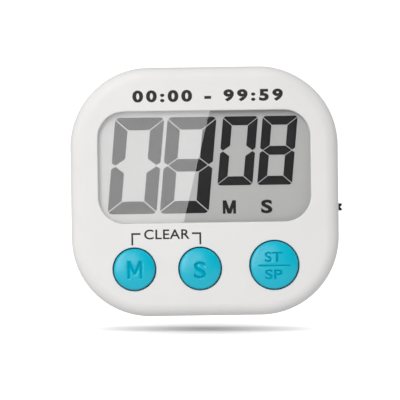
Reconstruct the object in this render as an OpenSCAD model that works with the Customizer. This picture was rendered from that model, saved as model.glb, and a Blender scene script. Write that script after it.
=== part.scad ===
// Digital kitchen timer with a large display, three push buttons and a slide switch.
// Millimetres. +Z is up, the display faces -Y, +X is to the right when looking at the display.
// The origin is the middle of the flat run that the case stands on.

/* [Case] */
// Width of the case
body_w = 75; // [73:0.5:90]
// Height of the case
body_h = 69.6; // [68.6:0.2:84]
// Radius of the four corners, seen from the front
corner_r = 22; // [14:0.5:24]
// Rounding of the edge round the front face
front_edge_r = 3.5; // [3:0.25:6]
// Rounding of the edge round the back face
back_edge_r = 3; // [2.5:0.25:4]
// Rounding inside that edge
inner_edge_r = 1.5; // [1:0.1:2]
// Thickness of the side walls
side_wall = 2; // [1.6:0.1:2.2]
// Thickness of the front wall
front_wall = 2; // [1.8:0.1:2.6]
// Thickness of the back wall
back_wall = 1.8; // [1.4:0.1:2.2]
// Depth of the front cover, front face to parting line
front_depth = 10.6; // [10:0.1:11.6]
// Height of the lip that lines up the two covers
lip_h = 1.5; // [1:0.1:2]
// Thickness of that lip
lip_t = 0.9; // [0.7:0.1:1]
// Width and depth of the groove along the parting line
seam = 0.3; // [0.1:0.1:0.5]

/* [Display] */
// Face left on each side of the window
window_side = 7.75; // [7.25:0.05:11]
// Face left above the window
window_above = 11.95; // [11:0.05:14]
// Face left below the window
window_below = 26.35; // [25.6:0.05:28]
// Corner radius of the window
window_r = 7.4; // [3:0.2:9]
// Rounding of the window's rim
window_edge_r = 0.4; // [0.2:0.05:0.5]
// How far the lens is set back from the front face
window_recess = 0.9; // [0.6:0.1:1.2]
// Thickness of the clear lens
lens_t = 1.1; // [0.8:0.1:1.5]
// How far the lens reaches behind the rim of the window
lens_lap = 1.5; // [1:0.1:1.8]
// Gap between the lens and the display
lens_gap = 0.2; // [0.1:0.1:0.6]
// Thickness of each display glass
glass_t = 0.7; // [0.5:0.1:1.1]
// Thickness of the front polariser
film_t = 0.2; // [0.1:0.05:0.3]
// Thickness of the rear reflector film
reflector_t = 0.3; // [0.2:0.05:0.4]
// How far the glass reaches past the window on each side
glass_margin = 1; // [0.6:0.1:1.1]
// Strip of the front glass that carries the contacts
contact_strip = 2.3; // [1.8:0.1:2.4]
// Wall of the frame that holds the glass
holder_wall = 0.6; // [0.5:0.05:0.7]
// Width of the elastomer connector
zebra_w = 1.6; // [1.2:0.1:1.7]

/* [Buttons] */
// Diameter of the minutes and seconds buttons
small_button_d = 11.9; // [9:0.1:12.6]
// Diameter of the start and stop button
large_button_d = 13.7; // [10:0.1:14.4]
// Place of the minutes button to the left of the middle
minute_x = 20; // [19:0.2:20.6]
// Place of the seconds button to the left of the middle
second_x = 1.6; // [1:0.1:2.2]
// Place of the start and stop button to the right of the middle
start_x = 19.2; // [18.6:0.1:20]
// Gap between the start and stop button and the display's frame
button_below = 0.5; // [0.3:0.1:2]
// How much lower the minutes and seconds buttons sit
small_button_drop = 0.7; // [0:0.1:1.4]
// How far a button stands proud at its rim
button_rise = 0.6; // [0.2:0.1:1.5]
// Height of a button's crown above its rim
button_crown = 0.5; // [0.2:0.1:1]
// Rounding of a button's rim
button_edge_r = 0.5; // [0.3:0.1:0.8]
// Gap round a button
button_gap = 0.25; // [0.15:0.05:0.4]
// Width of the flange that keeps a button in
flange_w = 0.8; // [0.6:0.1:1]
// Thickness of that flange
flange_t = 0.8; // [0.5:0.1:1]
// Travel of a button
button_travel = 0.9; // [0.4:0.1:1]
// Wall of a button cap
cap_wall = 1; // [0.8:0.1:1.4]
// Height of the keypad's lower edge
keypad_low_z = 5.8; // [4:0.1:6]
// Corner radius of the keypad sheet
keypad_r = 6; // [4:0.5:8]
// Thickness of the keypad sheet
sheet_t = 0.7; // [0.5:0.1:0.8]
// Radius of a keypad dome where it meets the sheet
dome_r = 4.4; // [4.1:0.1:4.8]
// Radius of the key on top of a dome
key_r = 2.6; // [2.2:0.1:3]
// Radius of a contact pill
pill_r = 1.8; // [1.2:0.1:2]
// Thickness of a contact pill
pill_t = 0.3; // [0.2:0.1:0.4]

/* [Circuit board] */
// Thickness of the board
board_t = 1.2; // [0.8:0.1:1.6]
// Space between the display and the board
board_gap = 1.3; // [1.2:0.1:2]
// Gap between the board and the case
board_clear = 0.5; // [0.3:0.1:1]
// Gap between the battery bay and the resin blob
blob_below = 6.35; // [2:0.05:8]
// Radius of the resin blob over the chip
blob_r = 5; // [3:0.5:7]
// Height of the resin blob
blob_h = 1.4; // [0.8:0.1:1.8]
// Length of the watch crystal
crystal_l = 6; // [5:0.5:7]
// Diameter of the watch crystal
crystal_d = 2; // [1.5:0.1:2.2]
// Length of a surface part
chip_l = 2; // [1.6:0.1:2.4]
// Width of a surface part
chip_w = 1.2; // [0.8:0.1:1.6]
// Height of a surface part
chip_h = 0.6; // [0.4:0.1:1]

/* [Slide switch] */
// Height of the knob above the underside, switched on
knob_z = 29.8; // [28:0.2:32]
// Travel of the knob
knob_travel = 2; // [1.5:0.1:2.5]
// Height of the knob
knob_h = 2; // [1.6:0.1:2.4]
// Thickness of the knob, front to back
knob_t = 1.6; // [1.2:0.1:1.8]
// How far the knob stands out of the case
knob_out = 1.1; // [0.6:0.1:2]
// Length of the switch housing
switch_l = 8.6; // [8:0.2:9]
// Height of the switch housing off the board
switch_t = 3.7; // [3.5:0.1:4]
// Depth of the switch housing, away from the side wall
switch_d = 3.5; // [3.2:0.1:4]

/* [Battery] */
// Diameter of the AAA cell
battery_d = 10.5; // [10:0.1:11.5]
// Length of the AAA cell with its nub
battery_l = 44.5; // [40:0.5:45]
// Distance of the cell's axis below the top of the case
battery_down = 20; // [19.6:0.1:20.4]
// Gap round the cell
battery_gap = 0.2; // [0.1:0.05:0.4]
// Length of the compressed spring
spring_l = 2.8; // [2.4:0.1:3.2]
// Diameter of the spring's wire
spring_wire = 0.5; // [0.4:0.05:0.6]
// Height of the bump on the positive contact
bump_h = 0.8; // [0.5:0.1:1]
// Thickness of the contact plates
plate_t = 0.4; // [0.3:0.05:0.5]
// Width of the contact plates' solder tails
tail_w = 2; // [1.5:0.1:2.5]
// Length of those tails outside the bay
tail_l = 1.5; // [1:0.1:2]
// Wall of the battery bay
bay_wall = 0.8; // [0.6:0.1:1]
// Gap between the battery bay and the circuit board
bay_gap = 0.2; // [0.1:0.1:1.5]
// Thickness of the battery door
door_t = 1.5; // [1.4:0.1:1.8]
// How far the door reaches past the bay
door_lap = 1.7; // [1.4:0.1:1.8]
// Gap round the door
door_gap = 0.15; // [0.1:0.05:0.3]
// Length of the door's tongues
tongue_l = 1.5; // [1:0.1:1.6]
// Thickness of the door's tongues
tongue_t = 1; // [0.8:0.1:1.2]
// Width of each tongue
tongue_w = 6; // [4:0.5:8]
// Distance of each tongue's middle from the end of the door
tongue_in = 10; // [6:0.5:14]
// Width of the door's springy finger
finger_w = 10; // [8:0.5:14]
// Length of the door's springy finger
finger_l = 6; // [5:0.5:8]

/* [Stand] */
// Width of the stand
stand_w = 30; // [24:0.5:31]
// Face left between the stand's free end and the battery door
stand_to_door = 5.85; // [5.5:0.05:12]
// Thickness of the stand
stand_t = 2.2; // [1.8:0.1:2.2]
// Height of the stand's axis
stand_z = 9.6; // [9.2:0.1:10.4]
// Distance of the stand's axis from the back face
stand_in = 1.5; // [1.4:0.05:1.6]
// Opening angle of the stand
stand_open = 95; // [80:1:105]
// Radius of the stand's pins
pin_r = 0.9; // [0.7:0.05:0.95]
// Length of the stand's pins
pin_l = 1.4; // [1:0.1:1.6]
// Running clearance of the pins
pin_fit = 0.05; // [0.02:0.01:0.1]
// Gap round the stand
stand_gap = 0.3; // [0.2:0.05:0.5]
// Radius of the finger scoop at the stand's free end
scoop_r = 4; // [3:0.25:4]
// Depth of that scoop
scoop_t = 2; // [1.5:0.1:2.2]

/* [Magnet and sounder] */
// Diameter of the magnet
magnet_d = 15; // [10:0.5:15.5]
// Thickness of the magnet
magnet_t = 2.5; // [1.5:0.1:3]
// Diameter of the sounder's brass disc
brass_d = 15; // [12:0.5:15]
// Diameter of its ceramic disc
ceramic_d = 10; // [8:0.5:11]
// Thickness of each of the two discs
disc_t = 0.25; // [0.2:0.05:0.4]
// Depth of the air chamber in front of the sounder
chamber_t = 1; // [0.6:0.1:1.5]
// Diameter of the sound holes
sound_hole_d = 1.4; // [0.8:0.1:1.8]
// Number of sound holes in the ring
sound_holes = 6; // [4:1:8]
// Radius of that ring
sound_ring_r = 4; // [3:0.25:5]
// Distance of the magnet's and the sounder's middle from the side of the case
side_in = 11.2; // [11:0.1:11.8]
// Face left between the magnet or the sounder and the battery door
side_below = 2.45; // [2.2:0.05:4]

/* [Screws and hanging] */
// Radius of the case screws
screw_r = 1; // [0.8:0.05:1.2]
// Length of the case screws under the head
screw_l = 8; // [6:0.5:9]
// Radius of the case screws' heads
head_r = 1.8; // [1.6:0.1:1.9]
// Wall round a screw's bore in a boss
boss_wall = 1.2; // [0.9:0.1:1.3]
// Distance of the lower case screws from the side
low_screw_in = 7; // [6.6:0.1:7.2]
// Gap between the display's frame and the lower screw bosses
low_screw_below = 1.15; // [0.5:0.05:2]
// Distance of the upper case screws from the side
top_screw_in = 15.5; // [15:0.1:16.2]
// Distance of the upper case screws from the top
top_screw_down = 6.8; // [6.6:0.1:7.2]
// Height of the case screws' seats above the parting line
screw_seat = 3.5; // [3:0.1:4.5]
// Radius of the circuit board screws
board_screw_r = 0.7; // [0.5:0.05:0.8]
// Radius of the circuit board screws' heads
board_head_r = 1.3; // [1.1:0.1:1.5]
// Distance of the upper board screws from the middle
board_screw_x = 11; // [8:0.5:12]
// Distance of the upper board screws from the top
board_screw_down = 6; // [5.6:0.1:6.2]
// Distance of the keyhole's entry from the top
keyhole_down = 8.7; // [8.6:0.05:8.8]
// Radius of the keyhole's entry
keyhole_r = 3; // [2.6:0.05:3.05]
// Width of the keyhole's slot
keyhole_slot = 3.2; // [2:0.1:3.4]
// How far the slot reaches above the entry
keyhole_rise = 3.4; // [2.6:0.1:3.4]
// Depth of the pocket behind the keyhole
keyhole_pocket = 3.5; // [2.5:0.1:5]
// Diameter of the wire leads
lead_d = 1; // [0.8:0.1:1.2]

/* [Hidden] */
$fn = 96;

over = 1;          // how far a cut runs past a surface
seat = 0.1;        // clearance of a piece set into another
play = 0.2;        // clearance of a piece that passes a wall
screw_fit = 0.02;  // clearance of a screw in its thread
screw_pass = 0.15; // clearance of a screw in a hole that it passes
boss_clear = 0.5;  // gap between a boss and what stands beside it

// Depths of the display stack, counted from the front face
lens_front = window_recess;
lens_back = lens_front + lens_t;
lcd_front = max(lens_back, front_wall) + lens_gap;
film_back = lcd_front + film_t;
glass_mid = film_back + glass_t;
glass_back = glass_mid + glass_t;
reflector_back = glass_back + reflector_t;
board_front = reflector_back + board_gap;
board_back = board_front + board_t;
bay_front = board_back + bay_gap;
battery_front = bay_front + bay_wall + battery_gap;
body_d = battery_front + battery_d + battery_gap + door_t;

// Places along Y
front_y = -body_d / 2;
back_y = body_d / 2;
split_y = front_y + front_depth;
inner_front_y = front_y + front_wall;
inner_back_y = back_y - back_wall;
board_front_y = front_y + board_front;
board_back_y = front_y + board_back;
battery_y = front_y + battery_front + battery_d / 2;
key_top_y = inner_front_y + flange_t;

// Case
mid_z = body_h / 2;
inner_w = body_w - 2 * side_wall;
inner_h = body_h - 2 * side_wall;
inner_r = corner_r - side_wall;
lip_gap = 0.1; // clearance between the lip and the front cover's wall
rib_t = 1;
rib_reach = 12;

// Display
window_w = body_w - 2 * window_side;
window_h = body_h - window_above - window_below;
window_z = window_below + window_h / 2;
glass_w = window_w + 2 * glass_margin;
glass_h = window_h + 2 * glass_margin;
film_in = 0.5; // how far a film stops short of the glass's edge
film_w = glass_w - 2 * film_in;
film_h = glass_h - 2 * film_in;
front_glass_h = glass_h + contact_strip;
front_glass_z = window_z - contact_strip / 2;
strip_z = window_z - glass_h / 2 - contact_strip / 2;
zebra_in = 3; // how far the connector stops short of the glass's ends
zebra_l = glass_w - 2 * zebra_in;
holder_r = 2.5;
holder_ledge = 2; // how much smaller than the window the hole through the holder is
holder_low_z = window_z - glass_h / 2 - contact_strip - seat - holder_wall;

// Buttons: place, height and radius of each
large_button_z = holder_low_z - button_below - flange_w - large_button_d / 2;
small_button_z = large_button_z - small_button_drop;
minute = [-minute_x, small_button_z, small_button_d / 2];
second = [-second_x, small_button_z, small_button_d / 2];
start_stop = [start_x, large_button_z, large_button_d / 2];
buttons = [minute, second, start_stop];
key_h = board_front_y - key_top_y;
pill_h = button_travel + seat;
dome_t = 0.5; // thickness of a dome's skirt

// Screws
boss_r = screw_r + boss_wall;
column_r = head_r + play + boss_wall;
low_screw_z = holder_low_z - low_screw_below - boss_r;
top_screw_x = body_w / 2 - top_screw_in;
case_screw_places = [
    [-(body_w / 2 - low_screw_in), low_screw_z],
    [body_w / 2 - low_screw_in, low_screw_z],
    [-top_screw_x, body_h - top_screw_down],
    [top_screw_x, body_h - top_screw_down]
];
screw_seat_y = split_y + screw_seat;
head_h = 1.5;
board_head_h = 1;
board_boss_r = board_screw_r + 0.9;
thread_end = 0.5; // how far a screw's bore runs past its tip
gap_left = (minute[0] + second[0]) / 2;
gap_right = (second[0] + second[2] + start_stop[0] - start_stop[2]) / 2;
board_screw_places = [
    [gap_left, small_button_z],
    [gap_right, small_button_z],
    [-board_screw_x, body_h - board_screw_down],
    [board_screw_x, body_h - board_screw_down]
];

// Slide switch
switch_wall_gap = 0.6;
switch_x = body_w / 2 - side_wall - switch_wall_gap;
knob_y = board_back_y + switch_t / 2;
knob_mid_z = knob_z - knob_travel / 2;
switch_steel = 0.3;
switch_base_t = 1;
pin_pitch = 2.5;
switch_pin_r = 0.35;
switch_pin_in = 1.6; // distance of the pins from the shell's outer side
switch_pin_x = switch_x - switch_pin_in;
slider_t = 1;      // thickness of the slider behind the knob
slider_side = 0.4; // how far the slider reaches past the knob, front and back
slider_end = 0.5;  // how far it reaches past the knob, above and below
notch = 0.7;       // side of the square that cuts the knob's grip notch

// Battery bay and door
battery_z = body_h - battery_down;
bay_h = battery_d + 2 * battery_gap;
bay_l = battery_l + bump_h + spring_l + 2 * plate_t;
bay_bottom_y = front_y + bay_front + bay_wall;
battery_x = -bay_l / 2 + plate_t + spring_l + battery_l / 2;
door_w = bay_l + 2 * door_lap;
door_h = bay_h + 2 * door_lap;
door_low_z = battery_z - door_h / 2;
door_r = 2;
door_rim = 0.8;    // wall round the door's seat
door_seat_t = 2.2; // depth of that wall under the door
tongue_x = door_w / 2 - tongue_in;
tongue_drop = 0.05; // gap between the tongues and the lip above them
slit = 0.7;
grip_t = 0.5;       // depth of the finger's grip grooves
grip_w = 0.6;       // width of each groove
grip_pitch = 1.2;
blob_z = battery_z - bay_h / 2 - bay_wall - blob_below - blob_r;
crystal_x = 14;
crystal_z = blob_z - 6;
chip_x = -16;
chip_z = blob_z - 9;
chip_pitch_x = 3.4;
chip_pitch_z = 3;

// Stand
stand_l = door_low_z - stand_to_door - stand_z;
stand_y = back_y - stand_in;
stand_stop = (stand_t / 2 - stand_in * cos(stand_open)) / sin(stand_open) + 0.05;
recess_t = stand_in + stand_t / 2 + play;
recess_low_z = stand_z - max(stand_stop, stand_t / 2 + seat);
recess_top_z = stand_z + stand_l + stand_gap;
recess_w = stand_w + 2 * stand_gap;
recess_wall = 1.2;

// Hanging keyhole
keyhole_z = body_h - keyhole_down;
keyhole_room_r = keyhole_r + play;
keyhole_wall = 0.8;

// Magnet and sounder
side_x = body_w / 2 - side_in;
side_z = door_low_z - side_below - max(magnet_d, brass_d) / 2;
cup_wall = 0.9;
disc_ledge = 1; // ring of the back wall that the sounder's disc sits on

// Wire leads: pads on the board, and how far from the board the wires pass
lead_y = 2;
buzzer_pad_z = side_z - 7.5;
buzzer_pad_x = -20;
buzzer_pad_pitch = 4;
spot_out = 3;
spot_in = 1;
buzzer_spots = [[spot_out, 0], [-spot_in, -spot_out]];
battery_lead_drop = 8;
battery_lead_out = 3;

// -------------------------------------------------------------- helpers

// Extrude a shape drawn in X and Z from depth y0 to depth y1
module slab(y0, y1) {
    translate([0, y1, 0]) rotate([90, 0, 0]) linear_extrude(y1 - y0) children();
}

// Stand a shape's own Z axis along -Y, starting at depth y
module toward_front(y) {
    translate([0, y, 0]) rotate([90, 0, 0]) children();
}

// Stand a shape's own Z axis along +Y, starting at depth y
module toward_back(y) {
    translate([0, y, 0]) mirror([0, 1, 0]) rotate([90, 0, 0]) children();
}

module round_rect(w, h, r) {
    square([w - 2 * r, h], center = true);
    square([w, h - 2 * r], center = true);
    for (sx = [-1, 1], sy = [-1, 1]) {
        translate([sx * (w / 2 - r), sy * (h / 2 - r)]) circle(r);
    }
}

// Section through an edge: r wide and depth high, its outer top corner rounded
module edge_profile(r, depth, edge_r) {
    square([r - edge_r, depth]);
    square([r, depth - edge_r]);
    translate([r - edge_r, depth - edge_r]) circle(edge_r);
}

// Block with rounded corners whose upper edge is rounded all the way round
module soft_block(w, h, r, depth, edge_r) {
    for (corner = [[1, 1, 0], [-1, 1, 90], [-1, -1, 180], [1, -1, 270]]) {
        translate([corner[0] * (w / 2 - r), corner[1] * (h / 2 - r), 0])
            rotate([0, 0, corner[2]])
                rotate_extrude(angle = 90) edge_profile(r, depth, edge_r);
    }
    for (side = [0, 1]) {
        mirror([side, 0, 0])
            translate([w / 2 - r, h / 2 - r, 0])
                rotate([90, 0, 0])
                    linear_extrude(h - 2 * r) edge_profile(r, depth, edge_r);
    }
    translate([-(w / 2 - r), 0, 0]) rotate([90, 0, 90]) linear_extrude(w - 2 * r) {
        translate([-(h / 2 - r), 0]) square([h - 2 * r, depth]);
        for (side = [0, 1]) {
            mirror([side, 0]) translate([h / 2 - r, 0]) edge_profile(r, depth, edge_r);
        }
    }
}

// Outline of the case, drawn in X and Z, smaller by inset all round
module case_outline(inset) {
    translate([0, mid_z]) round_rect(body_w - 2 * inset, body_h - 2 * inset, corner_r - inset);
}

// A round bar along Y from depth y0 to depth y1, at place [x, z]
module rod(place, r, y0, y1) {
    translate([place[0], y1, place[1]]) rotate([90, 0, 0]) cylinder(r = r, h = y1 - y0);
}

// -------------------------------------------------------------- case

module front_cover() {
    color("white") difference() {
        union() {
            difference() {
                translate([0, 0, mid_z]) toward_front(split_y)
                    soft_block(body_w, body_h, corner_r, front_depth, front_edge_r);
                translate([0, 0, mid_z]) toward_front(split_y + over)
                    soft_block(inner_w, inner_h, inner_r, front_depth - front_wall + over,
                        inner_edge_r);
            }
            for (p = case_screw_places) {
                rod(p, boss_r, inner_front_y - over, split_y);
                boss_rib(p);
            }
            for (p = board_screw_places) rod(p, board_boss_r, inner_front_y - over, board_front_y);
        }
        window_cut();
        for (b = buttons) {
            rod(b, b[2] + button_gap, front_y - over, inner_front_y + over);
        }
        for (p = case_screw_places) {
            rod(p, screw_r + screw_fit, screw_seat_y - screw_l - thread_end, split_y + over);
        }
        for (p = board_screw_places) {
            rod(p, board_screw_r + screw_fit, inner_front_y, board_front_y + over);
        }
        switch_slot();
        seam_cut();
    }
}

// Turn a shape that lies along +X so that it runs from a case screw to the nearest wall
module to_wall(p) {
    translate([p[0], 0, p[1]]) mirror([p[0] < 0 ? 1 : 0, 0, 0])
        rotate([0, p[1] > mid_z ? -60 : 0, 0]) children();
}

// Rib that ties a screw boss to the side wall, ending inside the wall
module boss_rib(p) {
    intersection() {
        to_wall(p) translate([0, inner_front_y - over, -rib_t / 2])
            cube([rib_reach, split_y - lip_h - boss_clear - inner_front_y + over, rib_t]);
        translate([0, 0, mid_z]) toward_front(split_y)
            soft_block(body_w - side_wall, body_h - side_wall, corner_r - side_wall / 2,
                front_depth - front_wall / 2, front_edge_r - side_wall / 2);
    }
}

// Window with the rebate that the lens sits in
module window_cut() {
    slab(front_y - over, inner_front_y + over) translate([0, window_z])
        round_rect(window_w, window_h, window_r);
    translate([0, 0, window_z]) toward_front(front_y + window_edge_r) rim_cut();
    slab(front_y + lens_front, inner_front_y + over) translate([0, window_z])
        round_rect(window_w + 2 * (lens_lap + seat), window_h + 2 * (lens_lap + seat),
            window_r + lens_lap + seat);
}

// What rounds the window's rim: a frame whose inner side is the window and whose section is
// a square less a quarter circle
module rim_cut() {
    for (corner = [[1, 1, 0], [-1, 1, 90], [-1, -1, 180], [1, -1, 270]]) {
        translate([corner[0] * (window_w / 2 - window_r), corner[1] * (window_h / 2 - window_r), 0])
            rotate([0, 0, corner[2]]) rotate_extrude(angle = 90) rim_profile(window_r);
    }
    for (side = [0, 1]) {
        mirror([side, 0, 0]) translate([window_w / 2 - window_r, window_h / 2 - window_r, 0])
            rotate([90, 0, 0]) linear_extrude(window_h - 2 * window_r) rim_profile(window_r);
        mirror([0, side, 0]) translate([-(window_w / 2 - window_r), window_h / 2 - window_r, 0])
            rotate([90, 0, 90]) linear_extrude(window_w - 2 * window_r) rim_profile(window_r);
    }
}

module rim_profile(r) {
    difference() {
        translate([r - over / 2, 0]) square([over / 2 + window_edge_r, window_edge_r + over]);
        translate([r + window_edge_r, 0]) circle(window_edge_r);
    }
}

// Slot for the slide switch knob in the right side wall
module switch_slot() {
    slot_h = knob_h + knob_travel + 3 * play;
    slot_t = knob_t + 2.5 * play;
    translate([body_w / 2 - side_wall - over, knob_y - slot_t / 2, knob_mid_z - slot_h / 2])
        cube([side_wall + 2 * over, slot_t, slot_h]);
}

module seam_cut() {
    slab(split_y - seam, split_y + over) difference() {
        case_outline(-over);
        case_outline(seam);
    }
}

module back_cover() {
    color("white") difference() {
        union() {
            back_shell();
            bay_block();
            recess_block();
            side_cup(side_x, magnet_d / 2 + seat, magnet_t + seat);
            side_cup(-side_x, brass_d / 2 + seat, back_wall + chamber_t + 2 * disc_t);
            for (p = case_screw_places) rod(p, column_r, split_y, inner_back_y + over / 2);
            keyhole_block();
        }
        bay_cut();
        door_cut();
        recess_cut();
        magnet_cut();
        sounder_cut();
        keyhole_cut();
        for (p = case_screw_places) {
            rod(p, screw_r + screw_pass, split_y - over, screw_seat_y + over);
            rod(p, head_r + play, screw_seat_y, back_y + over);
        }
    }
}

module back_shell() {
    depth = back_y - split_y;
    difference() {
        translate([0, 0, mid_z]) toward_back(split_y)
            soft_block(body_w, body_h, corner_r, depth, back_edge_r);
        translate([0, 0, mid_z]) toward_back(split_y - over)
            soft_block(inner_w, inner_h, inner_r, depth - back_wall + over,
                max(back_edge_r - side_wall, 0.3));
    }
    difference() {
        union() {
            slab(split_y - lip_h, split_y + 1) case_outline(side_wall + lip_gap);
            slab(split_y, split_y + 1) case_outline(side_wall - seat);
        }
        slab(split_y - lip_h - over, split_y + 2) case_outline(side_wall + lip_gap + lip_t);
        translate([0, split_y - lip_h - over, knob_mid_z - switch_l / 2 - 1])
            cube([body_w, lip_h + 2.5 * over, switch_l + 2]);
    }
}

// Tub that holds the cell, with a thick rim for the door
module bay_block() {
    slab(front_y + bay_front, inner_back_y + over / 2) translate([0, battery_z])
        square([bay_l + 2 * bay_wall, bay_h + 2 * bay_wall], center = true);
    slab(back_y - door_t - door_seat_t, inner_back_y + over / 2) translate([0, battery_z])
        round_rect(door_w + 2 * door_rim, door_h + 2 * door_rim, door_r);
}

module bay_cut() {
    slab(bay_bottom_y, back_y + over) translate([0, battery_z])
        square([bay_l, bay_h], center = true);
    for (side = [-1, 1]) {
        translate([side * (bay_l / 2 + bay_wall / 2), battery_y, battery_z])
            cube([bay_wall + over, tail_w + play, plate_t + play], center = true);
    }
}

module door_cut() {
    slab(back_y - door_t, back_y + over) translate([0, battery_z])
        round_rect(door_w + 2 * door_gap, door_h + 2 * door_gap, door_r + door_gap);
    for (side = [-1, 1]) {
        translate([side * tongue_x, back_y - door_t, door_low_z])
            tongue_pocket();
    }
}

// Room under the lip in which a tongue sits and swings, open towards the cell
module tongue_pocket() {
    reach = sqrt(pow(door_t + tongue_t + tongue_drop, 2) + pow(tongue_l, 2)) + 0.15;
    translate([-tongue_w / 2 - play, door_t - reach, -tongue_l - 1.5 * play])
        cube([tongue_w + 2 * play, reach - door_t, tongue_l + 1.5 * play + door_lap + seat]);
}

// Thicker floor and sides under the stand
module recess_block() {
    wall = recess_wall;
    translate([-recess_w / 2 - wall, back_y - recess_t - wall, recess_low_z - wall])
        cube([recess_w + 2 * wall, recess_t + wall - over / 2,
            recess_top_z - recess_low_z + 2 * wall]);
    for (side = [-1, 1]) {
        translate([side * (recess_w / 2 + (pin_l + wall) / 2), stand_y, stand_z])
            cube([pin_l + wall, 2 * stand_in - 1, 2 * (pin_r + wall)], center = true);
    }
    rod([0, recess_top_z], scoop_r + wall, back_y - scoop_t - wall, inner_back_y + over / 2);
}

module recess_cut() {
    translate([-recess_w / 2, back_y - recess_t, recess_low_z])
        cube([recess_w, recess_t + over, recess_top_z - recess_low_z]);
    translate([-recess_w / 2 - pin_l - seat, stand_y, stand_z]) rotate([0, 90, 0])
        cylinder(r = pin_r + pin_fit, h = recess_w + 2 * pin_l + 2 * seat);
    rod([0, recess_top_z], scoop_r, back_y - scoop_t, back_y + over);
}

// Round cup on the inside of the back wall
module side_cup(x, r, depth) {
    rod([x, side_z], r + cup_wall, back_y - depth - (x > 0 ? cup_wall : 0), inner_back_y + over / 2);
}

module magnet_cut() {
    rod([side_x, side_z], magnet_d / 2 + seat, back_y - magnet_t - seat, back_y + over);
}

// Air chamber, seat of the disc and sound holes
module sounder_cut() {
    seat_y = inner_back_y - chamber_t;
    rod([-side_x, side_z], brass_d / 2 - disc_ledge, seat_y - over, inner_back_y);
    rod([-side_x, side_z], brass_d / 2 + seat, split_y, seat_y);
    rod([-side_x, side_z], sound_hole_d / 2, inner_back_y - over, back_y + over);
    for (i = [0 : sound_holes - 1]) {
        a = i * 360 / sound_holes;
        rod([-side_x + sound_ring_r * cos(a), side_z + sound_ring_r * sin(a)],
            sound_hole_d / 2, inner_back_y - over, back_y + over);
    }
}

module keyhole_block() {
    slab(inner_back_y - keyhole_pocket - keyhole_wall, inner_back_y + over / 2)
        keyhole_room(keyhole_room_r + keyhole_wall);
}

// Space behind the keyhole in which a screw's head moves up
module keyhole_room(r) {
    translate([0, keyhole_z]) circle(r);
    translate([-r, keyhole_z]) square([2 * r, keyhole_rise]);
    translate([0, keyhole_z + keyhole_rise]) circle(r);
}

module keyhole_cut() {
    slab(inner_back_y - keyhole_pocket, inner_back_y) keyhole_room(keyhole_room_r);
    rod([0, keyhole_z], keyhole_r, inner_back_y - over / 2, back_y + over);
    slab(inner_back_y - over / 2, back_y + over) {
        translate([0, keyhole_z + keyhole_rise]) circle(keyhole_slot / 2);
        translate([-keyhole_slot / 2, keyhole_z]) square([keyhole_slot, keyhole_rise]);
    }
}

module case_screws() {
    color("silver") for (p = case_screw_places) {
        screw(p, screw_r, screw_l, head_r, head_h, screw_seat_y);
    }
}

// Pan-head cross-recess screw whose head sits on depth seat_y and points to the back
module screw(place, r, l, big_r, tall, seat_y) {
    difference() {
        union() {
            rod(place, r, seat_y - l, seat_y);
            rod(place, big_r, seat_y, seat_y + tall);
        }
        translate([place[0], seat_y + tall, place[1]]) {
            cube([big_r * 1.2, tall, big_r * 0.3], center = true);
            cube([big_r * 0.3, tall, big_r * 1.2], center = true);
        }
    }
}

// -------------------------------------------------------------- display

module display_lens() {
    color([0.8, 0.85, 0.85, 0.4]) slab(front_y + lens_front, front_y + lens_back)
        translate([0, window_z])
            round_rect(window_w + 2 * lens_lap, window_h + 2 * lens_lap, window_r + lens_lap);
}

module lcd_front_film() {
    color("lightgray") slab(front_y + lcd_front, front_y + film_back)
        translate([0, window_z]) square([film_w, film_h], center = true);
}

module lcd_front_glass() {
    color("lightblue") slab(front_y + film_back, front_y + glass_mid)
        translate([0, front_glass_z]) square([glass_w, front_glass_h], center = true);
}

module lcd_rear_glass() {
    color("lightblue") slab(front_y + glass_mid, front_y + glass_back)
        translate([0, window_z]) square([glass_w, glass_h], center = true);
}

module lcd_reflector() {
    color("gray") slab(front_y + glass_back, front_y + reflector_back)
        translate([0, window_z]) square([film_w, film_h], center = true);
}

module lcd_holder() {
    color("dimgray") difference() {
        slab(front_y + lcd_front, board_front_y) translate([0, front_glass_z])
            round_rect(glass_w + 2 * (seat + holder_wall),
                front_glass_h + 2 * (seat + holder_wall), holder_r);
        slab(front_y + lcd_front - over, front_y + glass_mid) translate([0, front_glass_z])
            square([glass_w + 2 * seat, front_glass_h + 2 * seat], center = true);
        slab(front_y + glass_mid - over, front_y + reflector_back) translate([0, window_z])
            square([glass_w + 2 * seat, glass_h + 2 * seat], center = true);
        slab(front_y + reflector_back - over, board_front_y + over) translate([0, window_z])
            square([window_w - holder_ledge, window_h - holder_ledge], center = true);
        slab(front_y + glass_mid - over, board_front_y + over) translate([0, strip_z])
            square([zebra_l + 2 * seat, zebra_w + 2 * seat], center = true);
    }
}

module zebra_strip() {
    color("pink") slab(front_y + glass_mid, board_front_y) translate([0, strip_z])
        square([zebra_l, zebra_w], center = true);
}

// -------------------------------------------------------------- circuit board

module circuit_board() {
    color("seagreen") difference() {
        slab(board_front_y, board_back_y) case_outline(side_wall + board_clear);
        for (p = case_screw_places) {
            rod(p, boss_r + board_clear, board_front_y - over, board_back_y + over);
            to_wall(p) translate([0, board_front_y - over, -(boss_r + board_clear)])
                cube([rib_reach, board_t + 2 * over, 2 * (boss_r + board_clear)]);
        }
        for (p = board_screw_places) {
            rod(p, board_screw_r + screw_pass, board_front_y - over, board_back_y + over);
        }
        for (i = [-1 : 1]) {
            rod([switch_pin_x, knob_mid_z + i * pin_pitch], switch_pin_r + seat,
                board_front_y - over, board_back_y + over);
        }
    }
}

module chip_blob() {
    blob_ball_r = (pow(blob_r, 2) + pow(blob_h, 2)) / (2 * blob_h);
    color("black") translate([0, 0, blob_z]) toward_back(board_back_y) rotate_extrude()
        intersection() {
            translate([0, blob_h - blob_ball_r]) circle(blob_ball_r);
            square([blob_r + over, blob_h + over]);
        }
}

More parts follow.
